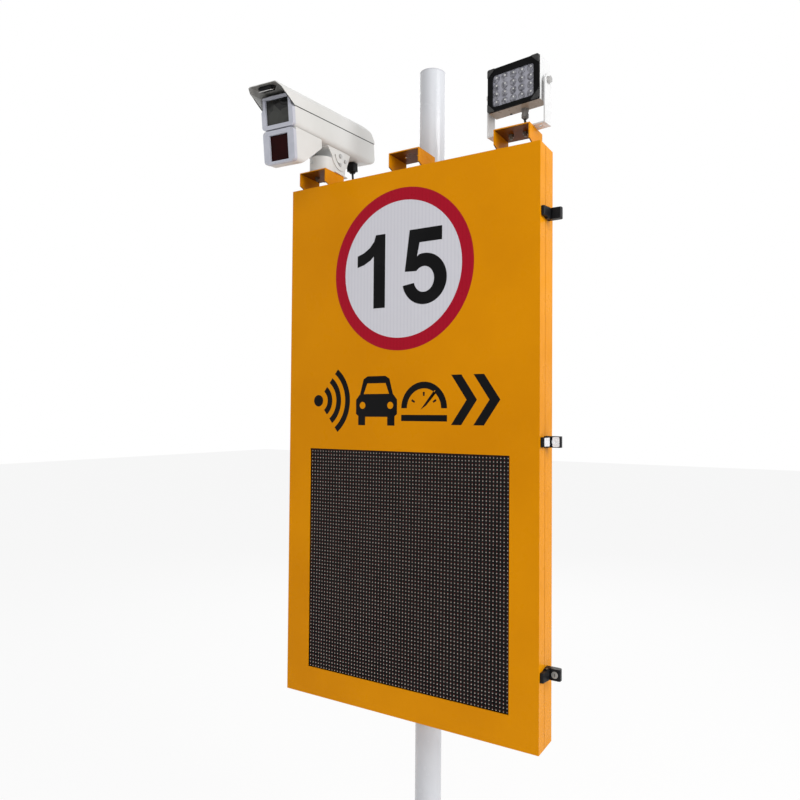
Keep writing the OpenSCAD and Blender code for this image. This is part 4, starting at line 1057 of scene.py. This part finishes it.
@dataclass
class Leads:
    """The two leads, each a tube that runs across its device's tilt joint."""

    camera_radius: float = 0.0035
    flood_radius: float = 0.003

    def dress(self) -> None:
        """Makes both leads in place of their plain solids."""
        self.lead("camera_lead_sheath", "camera_lead", CAMERA_LEAD_ROUTE, self.camera_radius,
                  "camera_head")
        self.lead("flood_lead_sheath", "flood_lead", FLOOD_LEAD_ROUTE, self.flood_radius,
                  "flood_head")

    @staticmethod
    def lead(name: str, node: str, route: list[Point], radius: float, head: str) -> None:
        """Makes one lead from its gland on the case to its device.

        Args:
            name: the piece's name.
            node: the node that it replaces.
            route: the route's points in millimetres, from the device to the case.
            radius: the lead's radius in metres.
            head: the device's body; not used.
        """
        points = np.array(route, dtype=float) * MM
        made = tube(points, radius).made(name, LEAD_BLACK)
        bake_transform(made)
        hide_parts(node)


def seen_rays(tree: bpy.types.NodeTree) -> bpy.types.NodeSocket:
    """Returns 1 for rays of the camera, of reflections and through glass, and else 0."""
    path = tree.nodes.new("ShaderNodeLightPath")
    value = path.outputs["Is Camera Ray"]
    for ray in ("Is Glossy Ray", "Is Transmission Ray"):
        larger = tree.nodes.new("ShaderNodeMath")
        larger.operation = "MAXIMUM"
        tree.links.new(value, larger.inputs[0])
        tree.links.new(path.outputs[ray], larger.inputs[1])
        value = larger.outputs["Value"]
    return value


@dataclass
class Studio:
    """The camera at the photograph's place, plain soft light, and a pale floor."""

    place: Point = (0.9845, -1.686, 1.5194)
    yaw: float = 29.47
    pitch: float = 1.35
    roll: float = 0.37
    lens: float = 29.86
    shift_x: float = -0.05
    world_power: tuple[float, float] = (0.55, 1.0)
    floor_size: float = 20.0
    floor_white: float = 0.9
    floor_glow: float = 0.85

    def set_up(self) -> None:
        """Makes the camera, the lamps, the world and the floor."""
        self.camera()
        self.world()
        self.lamp("key", (4.2, -0.6, 3.2), (0.4, -0.1, 1.5), 2.4, 135.0)
        self.lamp("front_fill", (2.0, -4.5, 3.2), (0.0, 0.0, 1.4), 3.2, 62.0)
        self.lamp("back_fill", (-1.8, 3.6, 3.4), (0.0, 0.0, 1.6), 2.6, 60.0)
        self.floor()
        bpy.context.scene.view_settings.view_transform = "Standard"

    def camera(self) -> None:
        """Places the camera: its axes come from yaw, pitch and roll about its own directions."""
        yaw, pitch, roll = (math.radians(v) for v in (self.yaw, self.pitch, self.roll))
        ahead = np.array([-math.sin(yaw) * math.cos(pitch), math.cos(yaw) * math.cos(pitch),
                          math.sin(pitch)])
        right = np.array([math.cos(yaw), math.sin(yaw), 0.0])
        up = np.cross(right, ahead)
        right, up = (math.cos(roll) * right + math.sin(roll) * up,
                     math.cos(roll) * up - math.sin(roll) * right)
        data = bpy.data.cameras.new("photo_camera")
        data.sensor_width = 36.0
        data.lens = self.lens
        data.shift_x = self.shift_x
        data.clip_end = 60.0
        camera = bpy.data.objects.new("photo_camera", data)
        matrix = np.eye(4)
        matrix[:3, 0], matrix[:3, 1], matrix[:3, 2], matrix[:3, 3] = right, up, -ahead, self.place
        camera.matrix_world = Matrix(matrix.tolist())
        bpy.context.scene.collection.objects.link(camera)
        bpy.context.scene.camera = camera

    @staticmethod
    def lamp(name: str, place: Point, aim: Point, size: float, power: float) -> None:
        """Adds one square soft lamp that looks at a point."""
        data = bpy.data.lights.new(name, "AREA")
        data.size = size
        data.energy = power
        lamp = bpy.data.objects.new(name, data)
        back = np.array(place) - np.array(aim)
        back /= np.linalg.norm(back)
        side = np.cross([0.0, 0.0, 1.0], back)
        side /= np.linalg.norm(side)
        matrix = np.eye(4)
        matrix[:3, 0], matrix[:3, 1], matrix[:3, 2] = side, np.cross(back, side), back
        matrix[:3, 3] = place
        lamp.matrix_world = Matrix(matrix.tolist())
        bpy.context.scene.collection.objects.link(lamp)

    def world(self) -> None:
        """A soft grey world that looks white to the camera, in gloss and through glass."""
        world = bpy.data.worlds.new("studio_world")
        bpy.context.scene.world = world
        world.use_nodes = True
        tree = world.node_tree
        back = tree.nodes["Background"]
        power = tree.nodes.new("ShaderNodeMapRange")
        power.inputs["To Min"].default_value = self.world_power[0]
        power.inputs["To Max"].default_value = self.world_power[1]
        tree.links.new(seen_rays(tree), power.inputs["Value"])
        back.inputs["Color"].default_value = (1.0, 1.0, 1.0, 1.0)
        tree.links.new(power.outputs["Result"], back.inputs["Strength"])

    def floor(self) -> None:
        """A wide pale floor that shows nearly white and keeps the sign's shadow."""
        size = self.floor_size
        mesh = bpy.data.meshes.new("floor")
        corners = [(-size, -size, 0), (size, -size, 0), (size, size, 0), (-size, size, 0)]
        mesh.from_pydata(corners, [], [(0, 1, 2, 3)])
        floor = bpy.data.objects.new("floor", mesh)
        bpy.context.scene.collection.objects.link(floor)
        material = bpy.data.materials.new("pale_floor")
        material.use_nodes = True
        tree = material.node_tree
        tree.nodes.clear()
        out = tree.nodes.new("ShaderNodeOutputMaterial")
        matt = tree.nodes.new("ShaderNodeBsdfDiffuse")
        white = self.floor_white
        matt.inputs["Color"].default_value = (white, white, white, 1.0)
        bright = tree.nodes.new("ShaderNodeEmission")
        bright.inputs["Strength"].default_value = 1.0
        share = tree.nodes.new("ShaderNodeMath")
        share.operation = "MULTIPLY"
        share.inputs[1].default_value = self.floor_glow
        tree.links.new(seen_rays(tree), share.inputs[0])
        mix = tree.nodes.new("ShaderNodeMixShader")
        tree.links.new(share.outputs["Value"], mix.inputs["Fac"])
        tree.links.new(matt.outputs["BSDF"], mix.inputs[1])
        tree.links.new(bright.outputs["Emission"], mix.inputs[2])
        tree.links.new(mix.outputs["Shader"], out.inputs["Surface"])
        mesh.materials.append(material)


def paint_nodes() -> None:
    """Gives every carried-over node its own finish."""
    for name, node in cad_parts.items():
        finish = NODE_FINISHES.get(name, LEAD_BLACK)
        node.data.materials.clear()
        node.data.materials.append(finish.build())


def main() -> None:
    """Builds the studio and dresses the sign, piece by piece."""
    logging.basicConfig(level=logging.INFO, format="%(message)s")
    steps = [("studio", Studio().set_up), ("leads", Leads().dress), ("finishes", paint_nodes),
             ("cabinet", Cabinet().dress), ("latches", Latches().dress), ("display", Display().dress),
             ("camera unit", CameraUnit().dress), ("floodlight", Floodlight().dress)]
    for name, step in steps:
        step()
        log.info("made the %s", name)


if __name__ == "__main__":
    main()
